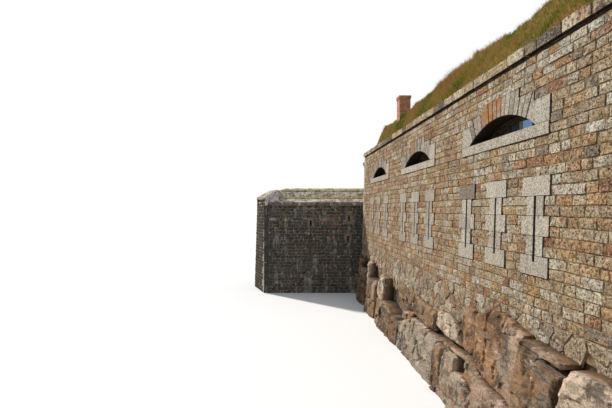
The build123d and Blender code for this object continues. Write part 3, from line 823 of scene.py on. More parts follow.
def stone_ends(span, length, rng):
    """Joints along one stretch, with stones of uneven length."""
    count = max(1, round((span[1] - span[0]) / length))
    weights = rng.uniform(0.55, 1.5, count)
    marks = np.concatenate(([0.0], np.cumsum(weights) / weights.sum()))
    return span[0] + (span[1] - span[0]) * marks


def courses(*bands):
    """Bed heights from bands given as bottom, top and number of courses."""
    beds = []
    for bottom, top, count in bands:
        beds += [bottom + (top - bottom) * n / count for n in range(count)]
    return beds + [bands[-1][1]]


def coursed_wall(pile, face, u, beds, holes=(), length=0.44, cell=0.08, proud=0.018, **marks):
    """Courses of rough stones along a face, left out where the holes are."""
    for low, high in itertools.pairwise(beds):
        blocked = [hole(low, high) for hole in holes]
        spans = free_spans(u[0], u[1], [found for found in blocked if found])
        for span in spans:
            ends = stone_ends(span, length, pile.rng)
            for left, right in itertools.pairwise(ends):
                columns = max(3, round((right - left) / cell))
                rows = max(3, round((high - low) / cell))
                size = (left, right), (low, high)
                laid_stone(pile, face, *size, proud, 0.36 * proud, columns, rows, **marks)


def quoins(pile, face, edge, inward, beds, proud, **marks):
    """Long and short corner stones of two courses up one edge of a face, and their holes."""
    holes = []
    pairs = [*beds[:-1:2], beds[-1]]
    for row, (under, over) in enumerate(itertools.pairwise(pairs)):
        length = LONG_QUOIN if row % 2 else SHORT_QUOIN
        span = tuple(sorted((edge, edge + inward * length)))
        dressed_stone(pile, face, rectangle(*span, under, over), -0.05, proud, 0.003, 0.01, **marks)
        holes.append(box_hole(span, (under, over)))
    return holes


# Ditch wall
RUBBLE_TOP = 3.1
UNDER_COPING = 0.05


def lunette_holes(centre):
    """The three steps of one lunette surround."""
    feet = (SURROUND_BOTTOM, *[top for _, top in SURROUND_STEPS])
    return [
        box_hole((centre - half, centre + half), (foot, top))
        for foot, (half, top) in zip(feet, SURROUND_STEPS)
    ]


def loophole_holes(x):
    """Rows of dressed blocks round one slit."""
    holes = []
    widths = [WIDE_BLOCK, NARROW_BLOCK, WIDE_BLOCK, NARROW_BLOCK, WIDE_BLOCK]
    for n, width in enumerate(widths):
        low = SILL_UNDERSIDE + n * BLOCK_HEIGHT
        span = (x - width / 2, x + width / 2)
        holes.append(box_hole(span, (low, low + BLOCK_HEIGHT)))
    return holes


def ditch_wall():
    """Courses of the ditch wall from the rubble foot to the coping, and its corner stones."""
    low_beds = courses((RUBBLE_TOP, SILL_UNDERSIDE, 4))
    middle_beds = courses((SILL_UNDERSIDE, LINTEL_TOP, 10))
    upper_beds = courses(
        (LINTEL_TOP, SURROUND_BOTTOM, 4),
        (SURROUND_BOTTOM, SHOULDER, 4),
        (SHOULDER, CROWN, 2),
        (CROWN, WALL_TOP - UNDER_COPING, 3),
    )
    corners = Pile(10)
    ends = []
    for edge, inward in ((WALL_LEFT, 1), (WALL_RIGHT, -1)):
        for beds in (low_beds, middle_beds, upper_beds):
            ends += quoins(corners, SCARP, edge, inward, beds, 0.02, wear=0.1)
    corners.build("corner_stones", "dressed_granite")

    span = (WALL_LEFT, WALL_RIGHT)
    lower = Pile(11)
    coursed_wall(lower, SCARP, span, low_beds, ends)
    lower.build("lower_courses", "coursed_granite")

    holes = [hole for x in LOOPHOLES for hole in loophole_holes(x)]
    middle = Pile(12)
    coursed_wall(middle, SCARP, span, middle_beds, holes + ends)
    middle.build("loophole_courses", "coursed_granite")

    holes = [hole for centre in BAY_CENTRES for hole in lunette_holes(centre)]
    upper = Pile(13)
    coursed_wall(upper, SCARP, span, upper_beds, holes + ends)
    # A thin strip of flat stones under the coping, in full dark: a painted shadow.
    shadow_band = (WALL_TOP - UNDER_COPING, WALL_TOP)
    laid_stone(upper, SCARP, span, shadow_band, 0.004, 0.001, 60, 3, 0.001, soot=1.0)
    upper.build("upper_courses", "coursed_granite")


# Loopholes and lunettes
ARC_RADIUS = (LUNETTE_WIDTH ** 2 / 4 + LUNETTE_RISE ** 2) / (2 * LUNETTE_RISE)
ARC_CENTRE = LUNETTE_SPRINGING + LUNETTE_RISE - ARC_RADIUS
ARC_LIMIT = math.asin(LUNETTE_WIDTH / 2 / ARC_RADIUS)
VOUSSOIRS = 15
SPRINGER_ANGLE = math.radians(28)

# One stained bay, brown wear by bay, and lichen by bay and place in the arch
STAINED_BAY = 2
BAY_WEAR = (0.3, 0.26, 0.0, 0.0)
LICHEN_SHARE = {
    (2, 3): 0.8, (2, 4): 1.0, (2, 5): 1.0, (2, 6): 0.9, (2, 7): 0.8, (2, 8): 0.4,
    (1, 3): 0.5, (1, 4): 0.6, (1, 5): 0.7, (1, 6): 0.5,
    (0, 3): 0.3, (0, 4): 0.4, (0, 5): 0.4,
}


def loopholes():
    """Sill, jambs and lintel of every slit."""
    pile = Pile(21)
    wide = WIDE_BLOCK / 2
    slit = SLIT_WIDTH / 2
    foot = SILL_UNDERSIDE
    top = foot + BLOCK_HEIGHT
    notch = top - SLIT_INTO_SILL
    sizes = (-DRESSED_DEPTH, LOOPHOLE_PROUD)
    for number, x in enumerate(LOOPHOLES):
        bay, place = divmod(number, LOOPHOLES_PER_BAY)
        sill = [
            (x - wide, foot), (x + wide, foot), (x + wide, top), (x + slit, top),
            (x + slit, notch), (x - slit, notch), (x - slit, top), (x - wide, top),
        ]
        brown = bay == STAINED_BAY and place == LOOPHOLES_PER_BAY - 1
        wear = 0.3 if brown else 0.06 + BAY_WEAR[bay]
        dressed_stone(pile, SCARP, sill, *sizes, wear=wear)
        for row, width in enumerate((NARROW_BLOCK, WIDE_BLOCK, NARROW_BLOCK), start=1):
            low = foot + row * BLOCK_HEIGHT
            for left, right in ((-width / 2, -slit), (slit, width / 2)):
                stone = rectangle(x + left, x + right, low, low + BLOCK_HEIGHT)
                wear = pile.rng.uniform(0.0, 0.12) + BAY_WEAR[bay]
                dressed_stone(pile, SCARP, stone, *sizes, 0.002, wear=wear)
        lintel = rectangle(x - wide, x + wide, LINTEL_TOP - BLOCK_HEIGHT, LINTEL_TOP)
        stained = bay == STAINED_BAY and place == 0
        wear = 0.95 if stained else 0.02 + 0.7 * BAY_WEAR[bay]
        dressed_stone(pile, SCARP, lintel, *sizes, wear=wear)
    nodes = ("loophole_sills", "loophole_jambs", "loophole_lintels")
    pile.build("loophole_stones", "dressed_granite", nodes)


def surround_edge(angle):
    """Distance from the arc's centre to the stepped outline in one direction."""
    slant = max(abs(math.sin(angle)), 1e-6)
    return max(
        min((top - ARC_CENTRE) / math.cos(angle), half / slant) for half, top in SURROUND_STEPS
    )


def step_corners():
    """Corners of the stepped outline, as angle and distance from the arc's centre."""
    inner = [(half, top) for (half, _), (_, top) in zip(SURROUND_STEPS[1:], SURROUND_STEPS)]
    return [
        (math.atan2(side * half, top - ARC_CENTRE), math.hypot(half, top - ARC_CENTRE))
        for half, top in SURROUND_STEPS + inner
        for side in (-1, 1)
    ]


def polar(centre, angle, distance):
    """Point on the wall face, from the arc's centre."""
    return (centre + distance * math.sin(angle), ARC_CENTRE + distance * math.cos(angle))


def voussoir(centre, start, end):
    """Outline of one arch stone between two radial joints, anticlockwise."""
    steps = 3
    angles = [start + (end - start) * n / steps for n in range(steps + 1)]
    inner = [polar(centre, angle, ARC_RADIUS) for angle in angles]
    outer = [(angle, surround_edge(angle)) for angle in (start, end)]
    outer += [corner for corner in step_corners() if start + 1e-4 < corner[0] < end - 1e-4]
    outer.sort(reverse=True)
    return inner + [polar(centre, angle, distance) for angle, distance in outer]


def springer(centre, side):
    """Outline of the block at one end of the arch, anticlockwise."""
    half = SURROUND_WIDTH / 2
    shares = (0, 0.5, 1)
    angles = [side * (SPRINGER_ANGLE + (ARC_LIMIT - SPRINGER_ANGLE) * part) for part in shares]
    outline = [polar(centre, angle, ARC_RADIUS) for angle in angles]
    outline += [
        (centre + side * half, LUNETTE_SPRINGING),
        (centre + side * half, SHOULDER),
        polar(centre, side * SPRINGER_ANGLE, surround_edge(SPRINGER_ANGLE)),
    ]
    return outline if side > 0 else outline[::-1]


def lunettes(name, face, side, nodes, depth, proud, seed):
    """Sill, springers and voussoirs of a row of lunette windows."""
    pile = Pile(seed)
    back = -depth
    for bay, centre in enumerate(BAY_CENTRES):
        centre = centre * side
        half = SURROUND_WIDTH / 2
        joints = (centre - half, centre + 0.1 * half, centre + half)
        for left, right in itertools.pairwise(joints):
            outline = rectangle(left, right, SURROUND_BOTTOM, LUNETTE_SPRINGING)
            dressed_stone(pile, face, outline, back, proud + 0.006, 0.002, wear=0.06)
        for end in (-1, 1):
            wear = 0.06 if end > 0 else 0.3 + BAY_WEAR[bay]
            dressed_stone(pile, face, springer(centre, end), back, proud, wear=wear)
        step = 2 * SPRINGER_ANGLE / VOUSSOIRS
        for n in range(VOUSSOIRS):
            start = -SPRINGER_ANGLE + n * step
            outline = voussoir(centre, start, start + step)
            lichen = LICHEN_SHARE.get((bay, n), 0.0) if side > 0 else 0.0
            front = proud + pile.rng.uniform(-0.008, 0.004)
            worn = 0.7 - 0.4 * n / VOUSSOIRS + BAY_WEAR[bay]
            marks = {"wear": worn * pile.rng.uniform(0.4, 1.2), "lichen": lichen}
            dressed_stone(pile, face, outline, back, front, 0.007, 0.008, **marks)
    pile.build(name, "dressed_granite", nodes)


# Copings
COPING_STONE = 0.68


def coping_row(pile, x, y, z, length, rough=0.005):
    """Row of coping stones along X between bounds on each axis."""
    ends = stone_ends(x, length, pile.rng)
    for left, right in itertools.pairwise(ends):
        fall = pile.rng.uniform(0.0, 0.02)
        low = (left + 0.004, y[0] + pile.rng.uniform(0.0, 0.015), z[0])
        high = (right - 0.004, y[1], z[1] - fall)
        rough_block(pile, low, high, rough, soft=0.012)


def copings():
    """Stones of the copings, front, rear and over the caponier's root."""
    for name, node, seed in (
        ("front_coping_stones", "front_coping", 31),
        ("rear_coping_stones", "rear_coping", 32),
        ("root_coping_stones", "root_coping", 33),
    ):
        low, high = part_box(node)
        pile = Pile(seed)
        coping_row(pile, (low.x, high.x), (low.y, high.y), (low.z, high.z), COPING_STONE)
        pile.build(name, "coping_granite", (node,), crease=40)


# Windows
FRAME_WIDTH = 0.08
FRAME_DEPTH = 0.08
POST_WIDTH = 0.06
POST_DEPTH = 0.05
POSTS = 5
GLASS_THICKNESS = 0.01
FRONT_GLAZING = 0.7
REAR_REVEAL = 0.47
REAR_GLAZING = REAR_FACE - REAR_REVEAL - FRAME_DEPTH
RAIL_END = 0.2
PANE_END = 0.24
PANE_FOOT = LUNETTE_SPRINGING + 0.02


def head_height(shift, inside):
    """Height of the lunette's arch at a distance from its centre, or of a line inside it."""
    radius = ARC_RADIUS - inside
    return ARC_CENTRE + math.sqrt(radius * radius - shift * shift)


def window(timber, glass, centre, y, seen):
    """One lunette window: arched head, sill rail, posts and the panes between them."""
    half = LUNETTE_WIDTH / 2 - 0.002
    steps = 24
    points = []
    for shift in np.linspace(-half, half, steps + 1):
        over = max(head_height(shift, 0.003), LUNETTE_SPRINGING + 0.001)
        under = min(max(head_height(shift, FRAME_WIDTH), LUNETTE_SPRINGING), over - 0.001)
        for depth in (y, y + FRAME_DEPTH):
            points += [(centre + shift, depth, under), (centre + shift, depth, over)]
    faces = []
    for a in range(0, 4 * steps, 4):
        faces += [[a, a + 4, a + 5, a + 1], [a + 2, a + 3, a + 7, a + 6]]
        faces += [[a, a + 2, a + 6, a + 4], [a + 1, a + 5, a + 7, a + 3]]
    timber.add(points, faces, wear=0.85)
    low = (centre - half + RAIL_END, y, LUNETTE_SPRINGING)
    high = (centre + half - RAIL_END, y + FRAME_DEPTH, LUNETTE_SPRINGING + FRAME_WIDTH)
    box_stone(timber, low, high, wear=0.7)
    gap = LUNETTE_WIDTH / (POSTS + 1)
    posts = [(n + 1) * gap - LUNETTE_WIDTH / 2 for n in range(POSTS)]
    for number, post in enumerate(posts):
        painted = number == POSTS // 2 and seen
        top = head_height(abs(post) + POST_WIDTH / 2, FRAME_WIDTH / 2)
        low = (centre + post - POST_WIDTH / 2, y, LUNETTE_SPRINGING + 0.01)
        high = (centre + post + POST_WIDTH / 2, y + POST_DEPTH, top)
        box_stone(timber, low, high, wear=0.1 if painted else 0.85)
    edges = [-half + PANE_END, *posts, half - PANE_END]
    back = y + POST_DEPTH + GLASS_THICKNESS / 2
    columns = 6
    sheets = [[a, a + 2, a + 3, a + 1] for a in range(0, 2 * columns, 2)]
    for number, (left, right) in enumerate(itertools.pairwise(edges)):
        pane = []
        for spot in np.linspace(left, right, columns + 1):
            over = max(head_height(spot, FRAME_WIDTH / 2), PANE_FOOT)
            pane += [(centre + spot, back, PANE_FOOT), (centre + spot, back, over)]
        # Panes left of the middle post of a front window are near black: a painted dark reflection.
        reflects_dark = number <= POSTS // 2 and seen
        glass.add(pane, sheets, wear=0.95 if reflects_dark else 0.15)


def windows():
    """All lunette windows, front and rear."""
    timber = Pile(25)
    glass = Pile(26)
    for bay, centre in enumerate(BAY_CENTRES):
        window(timber, glass, centre, FRONT_GLAZING, True)
        window(timber, glass, centre, REAR_GLAZING, False)
    timber.build("window_timbers", "painted_timber", ("window_frames",))
    glass.build("window_panes", "window_glass", ("window_glass",))


# Bedrock
ROCK_ROWS = 102
ROCK_LEAN = 0.1
ROCK_HEIGHT = 3.03
CRACK_DEPTH = 0.08
EDGE_DROP = 0.1
ROCK_INSET = 0.01
ROCK_SIDE = 0.4
FOOT = -0.3

# Blocks of the rock before the lit part of the wall: the shade, the reach at the left and right
# end, the width of the worn edges, and the corners along the wall and up it, anticlockwise
ROCKS = [
    # These two darkest blocks stand for rock in shade: painted shade.
    (DARK_AND_SHADE, 0.62, 0.55, 0.1, [(-6.2, FOOT), (-4.6, FOOT), (-4.5, 1.0), (-5.9, 1.25)]),
    (DARK_AND_SHADE, 0.6, 0.52, 0.1, [(-4.6, FOOT), (-3.5, FOOT), (-3.4, 0.8), (-4.0, 1.0), (-4.5, 0.98)]),
    (IRON, 0.3, 0.28, 0.04, [(-3.8, 0.98), (-2.8, 1.05), (-2.8, 1.42), (-3.7, 1.34)]),
    (SLAB, 0.5, 0.5, 0.04, [(-3.5, FOOT), (0.32, FOOT), (0.38, 1.32), (-1.9, 1.46), (-3.4, 0.96)]),
    (BROWN, 0.34, 0.32, 0.04, [(-2.4, 1.5), (-0.3, 1.42), (-0.3, 2.0), (-2.3, 2.12)]),
    (BROWN, 0.26, 0.2, 0.04, [(-4.9, 1.85), (-2.9, 1.75), (-2.7, 2.15), (-4.8, 2.25)]),
    (BROWN, 0.49, 0.48, 0.04, [(0.36, FOOT), (0.84, FOOT), (0.9, 1.3), (0.42, 1.3)]),
    (SLAB, 0.47, 0.5, 0.04, [(0.86, FOOT), (1.82, FOOT), (1.86, 1.32), (0.92, 1.3)]),
    (PINK, 0.46, 0.38, 0.04, [(0.3, 1.33), (1.6, 1.36), (2.5, 1.3), (2.5, 1.5), (0.3, 1.46)]),
    (PALE, 0.36, 0.36, 0.06, [(0, 1.64), (1.7, 1.58), (1.66, 2.0), (0.8, 2.2), (0.06, 2.14)]),
    (SLAB, 0.6, 0.62, 0.04, [(1.84, FOOT), (3.1, FOOT), (3.1, 0.78), (2.6, 0.98), (1.88, 1.0)]),
    (BROWN, 0.42, 0.42, 0.04, [(2.3, 0.98), (3.05, 0.85), (3.0, 1.5), (2.45, 1.56)]),
    (IRON, 0.32, 0.34, 0.04, [(1.74, 1.6), (2.6, 1.6), (2.58, 2.56), (2.2, 2.74), (1.74, 2.5)]),
    (IRON, 0.38, 0.36, 0.04, [(2.64, 1.5), (3.2, 1.3), (3.2, 2.86), (2.64, 2.66)]),
    (IRON, 0.36, 0.36, 0.04, [(3.22, 1.3), (3.95, 1.3), (3.96, 2.92), (3.22, 2.9)]),
    (PINK, 0.58, 0.54, 0.04, [(3.12, FOOT), (4.84, FOOT), (4.86, 1.2), (4.0, 1.26), (3.12, 1.4)]),
    (PINK, 0.46, 0.46, 0.04, [(4.0, 1.3), (4.84, 1.2), (4.86, 2.74), (4.04, 2.9)]),
    (BROWN, 0.62, 0.64, 0.04, [(4.86, FOOT), (5.5, FOOT), (5.62, 2.62), (4.9, 2.7)]),
    (BROWN, 0.66, 0.62, 0.04, [(5.52, FOOT), (5.85, FOOT), (6.2, 2.44), (5.64, 2.54)]),
    (PINK, 0.6, 0.56, 0.03, [(5.0, 2.64), (6.2, 2.55), (6.22, 2.66), (5.0, 2.73)]),
    (
        PALE, 0.62, 0.56, 0.12,
        [(5.98, FOOT), (8.3, FOOT), (8.3, 2.6), (7.1, 2.68), (6.5, 2.66), (6.3, 2.4)],
    ),
]

# Blocks along the rest of the wall, as the part has them: both ends, the reach there and the top
FAR_ROCKS = [
    (-13.72, -12.3, 0.38, 0.52, 2.25),
    (-12.3, -10.7, 0.64, 0.56, 1.9),
    (-10.7, -9.5, 0.45, 0.62, 2.4),
    (-9.5, -7.8, 0.7, 0.6, 1.7),
    (-7.8, -6.2, 0.52, 0.64, 2.15),
    (8.3, 9.7, 0.48, 0.6, 2.35),
    (9.7, 11.2, 0.66, 0.56, 2.7),
    (11.2, 12.4, 0.5, 0.64, 2.15),
    (12.4, 13.72, 0.62, 0.48, 2.6),
]


def rock_line():
    """Corners of the line where the masonry meets the rock, from the frame's own mesh."""
    places = np.array([vertex.co for vertex in frame["nodes"]["scarp_base"].data.vertices])
    low = places[:, 2] < SILL_UNDERSIDE - 0.01
    front = places[low & (places[:, 1] < WALL_DEPTH / 2)]
    order = np.argsort(front[:, 0])
    return front[order, 0], front[order, 2]


ROCK_X, ROCK_Z = rock_line()


def rock_top(x):
    """Height of the rock under the wall at x."""
    return np.interp(x, ROCK_X, ROCK_Z)


def noise_field(first, second, scale, layer, depth=3):
    """Layered noise over places on a face or on the ground."""
    spots = zip(np.ravel(first) * scale[0], np.ravel(second) * scale[1])
    values = [noise.fractal(Vector((x, y, layer)), 0.8, 2.1, depth) for x, y in spots]
    return np.reshape(values, np.shape(first))


def block_depth(across, height, corners):
    """Distance inside an outline whose corners run anticlockwise, negative outside it."""
    depth = np.full(np.shape(across), np.inf)
    for (x, z), (next_x, next_z) in zip(corners, corners[1:] + corners[:1]):
        length = math.hypot(next_x - x, next_z - z)
        side = (next_x - x) * (height - z) - (next_z - z) * (across - x)
        depth = np.minimum(depth, side / length)
    return depth


def softened(field, passes):
    """Field averaged with its neighbours a few times."""
    for _ in range(passes):
        wide = np.pad(field, 1, mode="edge")
        rows = wide[:-2, 1:-1] + wide[2:, 1:-1]
        field = (rows + wide[1:-1, :-2] + wide[1:-1, 2:] + 2 * field) / 6
    return field


def chipped(rng, across, height, corners):
    """How far the broken planes of one block lie behind its front."""
    spots = np.array(corners)
    middle = (spots.max(axis=0) + spots.min(axis=0)) / 2
    half = np.ptp(spots, axis=0) / 2
    lost = np.zeros(across.shape)
    for _ in range(4):
        angle = rng.uniform(0, 2 * math.pi)
        along = (across - middle[0]) / half[0] * math.cos(angle)
        along = along + (height - middle[1]) / half[1] * math.sin(angle)
        lost = np.maximum(lost, rng.uniform(0.05, 0.2) * (along - rng.uniform(0.6, 1.1)))
    return lost


def facets(rng, across, height):
    """Small broken planes, each with its own depth and slope, over the whole rock."""
    count = 1000
    seeds = np.stack((
        rng.uniform(WALL_LEFT, WALL_RIGHT, count),
        rng.uniform(0.0, ROCK_HEIGHT, count),
    ), axis=1)
    slopes = rng.uniform(-0.11, 0.11, (count, 2))
    depths = rng.uniform(-0.014, 0.014, count)
    plane = np.zeros(across.shape)
    for row in range(len(across)):
        gap_x = across[row][:, None] - seeds[:, 0]
        gap_z = height[row][:, None] - seeds[:, 1]
        nearest = np.argmin((0.5 * gap_x) ** 2 + gap_z ** 2, axis=1)
        spots = np.arange(len(nearest))
        plane[row] = depths[nearest] + slopes[nearest, 0] * gap_x[spots, nearest]
        plane[row] += slopes[nearest, 1] * gap_z[spots, nearest]
    return plane


def rock_tone(shade):
    """Place of one rock colour on the tone scale."""
    return (shade + 0.5) / len(ROCK_TONES)


def rock_columns():
    """Places along the wall, close together where the rock shows best."""
    near = (-6.0, 8.6)
    fine, coarse = 0.036, 0.075
    left = np.arange(WALL_LEFT + ROCK_INSET, near[0], coarse)
    middle = np.arange(near[0], near[1], fine)
    end = WALL_RIGHT - ROCK_INSET
    right = np.linspace(near[1], end, int((end - near[1]) / coarse))
    return np.concatenate((left, middle, right))


def split_rock(rng, left, right, reach_left, reach_right, top):
    """One block of the solid as a few pieces with slanting joints, set back unevenly."""
    pieces = []
    level = 0.0
    slant = rng.uniform(-0.12, 0.12)
    while level < top - 0.05:
        height = min(rng.uniform(0.5, 1.3), top - level)
        if top - level - height < 0.35:
            height = top - level
        middle = left + (right - left) * rng.uniform(0.3, 0.7)
        halves = [(left, middle), (middle, right)] if rng.random() < 0.65 else [(left, right)]
        for low, high in halves:
            ends = np.interp((low, high), (left, right), (reach_left, reach_right))
            ends = ends - rng.uniform(0.0, 0.1)
            shade = int(rng.choice((SLAB, PINK, BROWN, IRON, BROWN, PALE, DARK_AND_SHADE)))
            over = level + height
            lean = slant * height
            foot = level if level > 0 else FOOT
            corners = [(low, foot), (high, foot), (high + lean, over), (low + lean, over)]
            pieces.append((shade, ends[0], ends[1], 0.07, corners))
        level += height
    return pieces


def margins(depth):
    """Depth inside a block at each point, and at the points over, under, right and left of it."""
    over, under = np.roll(depth, -1, axis=0), np.roll(depth, 1, axis=0)
    right, left = np.roll(depth, -1, axis=1), np.roll(depth, 1, axis=1)
    return np.stack((depth, over, under, right, left))


def on_edges(places, reach, inside, after, before):
    """Places of the rows, moved onto the blocks' edges where the rock drops back."""
    moved = places.copy()
    drop = reach[:-1] - reach[1:]
    gap = places[1:] - places[:-1]
    last = (drop > EDGE_DROP) & (after[:-1] <= 0)
    edge = places[:-1] + gap * inside[:-1] / np.maximum(inside[:-1] - after[:-1], 1e-6)
    moved[:-1] = np.where(last, edge, moved[:-1])
    moved[1:] = np.where(last, np.minimum(edge + 0.1 * gap, places[1:]), moved[1:])
    first = (drop < -EDGE_DROP) & (before[1:] <= 0)
    edge = places[1:] - gap * inside[1:] / np.maximum(inside[1:] - before[1:], 1e-6)
    moved[1:] = np.where(first, edge, moved[1:])
    moved[:-1] = np.where(first, np.maximum(edge - 0.1 * gap, places[:-1]), moved[:-1])
    return moved


def rock_field(rng, across, height):
    """How far the rock stands out at each point, its shade there, and the point's own place."""
    shift = 0.035 * noise_field(across, height, (1.3, 1.3), 3.0, 4)
    rise = 0.035 * noise_field(across, height, (1.5, 1.5), 7.0, 4)
    wall = 0.004 - BATTER * height
    hidden = height > rock_top(across) - 0.02
    reach = np.where(hidden, wall - 0.06, wall - 0.05 + 0.05 * shift)
    # The wall between the blocks takes the darkest tone: painted shade in the recess.
    tone = np.full(across.shape, rock_tone(DARK_AND_SHADE))
    edges = np.ones((5, *across.shape))
    blocks = list(ROCKS)
    for sizes in FAR_ROCKS:
        blocks += split_rock(rng, *sizes)
    for shade, reach_left, reach_right, edge, corners in blocks:
        places = [corner[0] for corner in corners]
        share = (across - min(places)) / (max(places) - min(places))
        depth = block_depth(across + shift, height + rise, corners)
        worn = 1 - np.clip(depth / edge, 0, 1)
        front = reach_left + (reach_right - reach_left) * share - ROCK_LEAN * height
        front = front - CRACK_DEPTH * worn - chipped(rng, across, height, corners)
        taken = (depth > 0) & (front > reach)
        reach = np.where(taken, front, reach)
        tone = np.where(taken, rock_tone(shade), tone)
        edges = np.where(taken, margins(depth), edges)
    inside, over, under, right, left = edges
    level = on_edges(height, reach, inside, over, under)
    beside = on_edges(across.T, reach.T, inside.T, right.T, left.T).T
    return reach, tone, beside, level


def bedrock_blocks():
    """Fractured rock that the wall stands on, as one surface with open cracks."""
    pile = Pile(41)
    xs = rock_columns()
    zs = np.linspace(0.0, ROCK_HEIGHT, ROCK_ROWS)
    across, height = np.meshgrid(xs, zs)
    reach, tone, beside, level = rock_field(pile.rng, across, height)
    grain = noise_field(across, height, (3.0, 6.0), 5.0)
    rough = np.where(reach > 0.02, 1.0, 0.15)
    out = reach + rough * (facets(pile.rng, across, height) + 0.012 * grain)
    # Points that lie lower than their neighbours, in cracks and hollows, take the dark mark:
    # painted shade.
    hollow = softened(out, 6) - out
    soot = np.clip((hollow - 0.01) / 0.045, 0, 1)
    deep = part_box("rock_ledge")[1].y
    sides = []
    for x in (xs[0], xs[-1]):
        sides.append([np.array([(x, y, z) for z in zs]) for y in (deep, ROCK_SIDE)])
    front = np.stack((beside, -out, level), axis=-1)
    columns = [*sides[0], *np.swapaxes(front, 0, 1), *reversed(sides[1])]
    points = np.swapaxes(np.array(columns), 0, 1)
    foot, head = points[0].copy(), points[-1].copy()
    foot[:, 1] = head[:, 1] = deep
    points = np.concatenate((foot[None], points, head[None]))
    ends = ((1, 1), (2, 2))
    marks = {"tone": np.pad(tone, ends, mode="edge").ravel(), "soot": np.pad(soot, ends).ravel()}
    pile.add(points, grid_faces(len(xs) + 4, len(zs) + 2), **marks)
    pile.build("bedrock_blocks", "bedrock", ("rock_ledge",), crease=11)


# Rubble foot between the rock and the first level course
def in_rock(x, z):
    """Whether a place on the wall lies well behind one of the blocks of rock."""
    return any(block_depth(np.array(x), np.array(z), corners) > 0.1 for *_, corners in ROCKS)


def rubble_cells(rng):
    """Seeds of the irregular stones, wider than they are tall and some left out."""
    wide, tall = 0.38, 0.21
    seeds = []
    for row in range(int(RUBBLE_TOP / tall)):
        for column in range(int((WALL_RIGHT - WALL_LEFT) / wide) + 1):
            if rng.random() < 0.2:
                continue
            u = WALL_LEFT + (column + 0.5 * (row % 2) + rng.uniform(-0.4, 0.4)) * wide
            v = RUBBLE_TOP - (row + 0.5 + rng.uniform(-0.3, 0.3)) * tall
            seeds.append((u, v))
    return np.array(seeds)


def rubble_foot():
    """Irregular stones between the rock and the first level course."""
    pile = Pile(14)
    rng = pile.rng
    seeds = rubble_cells(rng)
    reach = 0.45
    box = np.array([(-reach, -reach), (reach, -reach), (reach, reach), (-reach, reach)])
    limits = (
        ((0, RUBBLE_TOP - 0.004), (0, 1)),
        ((WALL_RIGHT, 0), (1, 0)),
        ((WALL_LEFT, 0), (-1, 0)),
    )
    for seed in seeds:
        if seed[1] < rock_top(seed[0]) - 0.2 or in_rock(*seed):
            continue
        polygon = box + seed
        gaps = seeds - seed
        distance = np.abs(gaps).max(axis=1)
        for gap in gaps[(distance < 1.0) & (distance > 0)]:
            polygon = clipped(polygon, seed + gap / 2, gap)
        for point, normal in limits:
            polygon = clipped(polygon, np.array(point), np.array(normal))
        if len(polygon) > 2:
            centre = polygon.mean(axis=0)
            polygon = centre + (polygon - centre) * 0.98
            rubble_stone(pile, SCARP, polygon, rng.uniform(0.01, 0.036), 0.008)
    pile.build("rubble_stones", "rubble_granite")


# Earth parapet
BANK_LOW, BANK_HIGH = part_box("earth_parapet")
CREST_BACK = 2.35
CREST_INNER = 5.0
WALK_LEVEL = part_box("rampart_walk")[1].z
WALK_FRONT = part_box("rampart_walk")[0].y
END_RUN = 1.3
ROOT_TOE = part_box("root_coping")[1].y
TURF_DEPTH = 0.12
WALK_TURF_DEPTH = 0.07

# The bank's longest grass: where it grows along the wall, and how far it spreads
TUSSOCKS_AT = -4.3
TUSSOCKS_SPREAD = 2.6


def bank_height(x, y):
    """Height of the ground under the grass at a place, with soft unevenness."""
    crest = BANK_HIGH.z
    toe = np.where(x > WALL_LEFT, COPING_BACK, ROOT_TOE)
    front = COPING_TOP + (y - toe) * (crest - COPING_TOP) / (CREST_BACK - toe)
    inner = WALK_LEVEL + (WALK_FRONT - y) * (crest - WALK_LEVEL) / (WALK_FRONT - CREST_INNER)
    slope = (crest - COPING_TOP) / END_RUN
    ends = COPING_TOP + np.minimum(BANK_HIGH.x - x, x - BANK_LOW.x) * slope
    height = np.minimum(np.minimum(front, inner), np.minimum(ends, crest))
    uneven = 0.11 * noise_field(x, y, (0.55, 0.55), 11.0)
    return np.maximum(height + uneven - TURF_DEPTH, COPING_TOP - 0.05)


def bank_surface():
    """Ground of the parapet under the grass."""
    pile = Pile(51)
    step = 0.13
    for left, right, toe in (
        (WALL_LEFT - 0.05, BANK_HIGH.x, COPING_BACK - 0.05),
        (BANK_LOW.x, WALL_LEFT - 0.05, ROOT_TOE - 0.1),
    ):
        xs = np.linspace(left, right, int((right - left) / step) + 1)
        ys = np.linspace(toe, WALK_FRONT, int((WALK_FRONT - toe) / step) + 1)
        across, back = np.meshgrid(xs, ys)
        points = np.stack((across, back, bank_height(across, back)), axis=-1)
        pile.add(points, grid_faces(len(xs), len(ys)), tone=0.5)
    pile.build("bank_turf", "turf", ("earth_parapet",), 60, SOIL)


def walk_height(x, y):
    """Level of the ground of the rampart walk under its grass."""
    uneven = 0.02 * noise_field(x, y, (0.4, 0.4), 13.0)
    return WALK_LEVEL - WALK_TURF_DEPTH + uneven


def walk_surface():
    """Ground of the rampart walk."""
    pile = Pile(55)
    low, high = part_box("rampart_walk")
    xs = np.linspace(low.x, high.x, 80)
    ys = np.linspace(low.y, high.y, 12)
    across, back = np.meshgrid(xs, ys)
    points = np.stack((across, back, walk_height(across, back)), axis=-1)
    pile.add(points, grid_faces(len(xs), len(ys)), tone=0.5)
    sides = rectangle(low.x, high.x, low.y, high.y)
    for start, end in zip(sides, sides[1:] + sides[:1]):
        foot = [(*start, low.z), (*end, low.z)]
        head = [(x, y, float(walk_height(x, y))) for x, y in (start, end)]
        pile.add(foot + head, [[0, 1, 3, 2]], tone=0.5)
    pile.build("walk_turf", "turf", ("rampart_walk",), 60, SOIL)


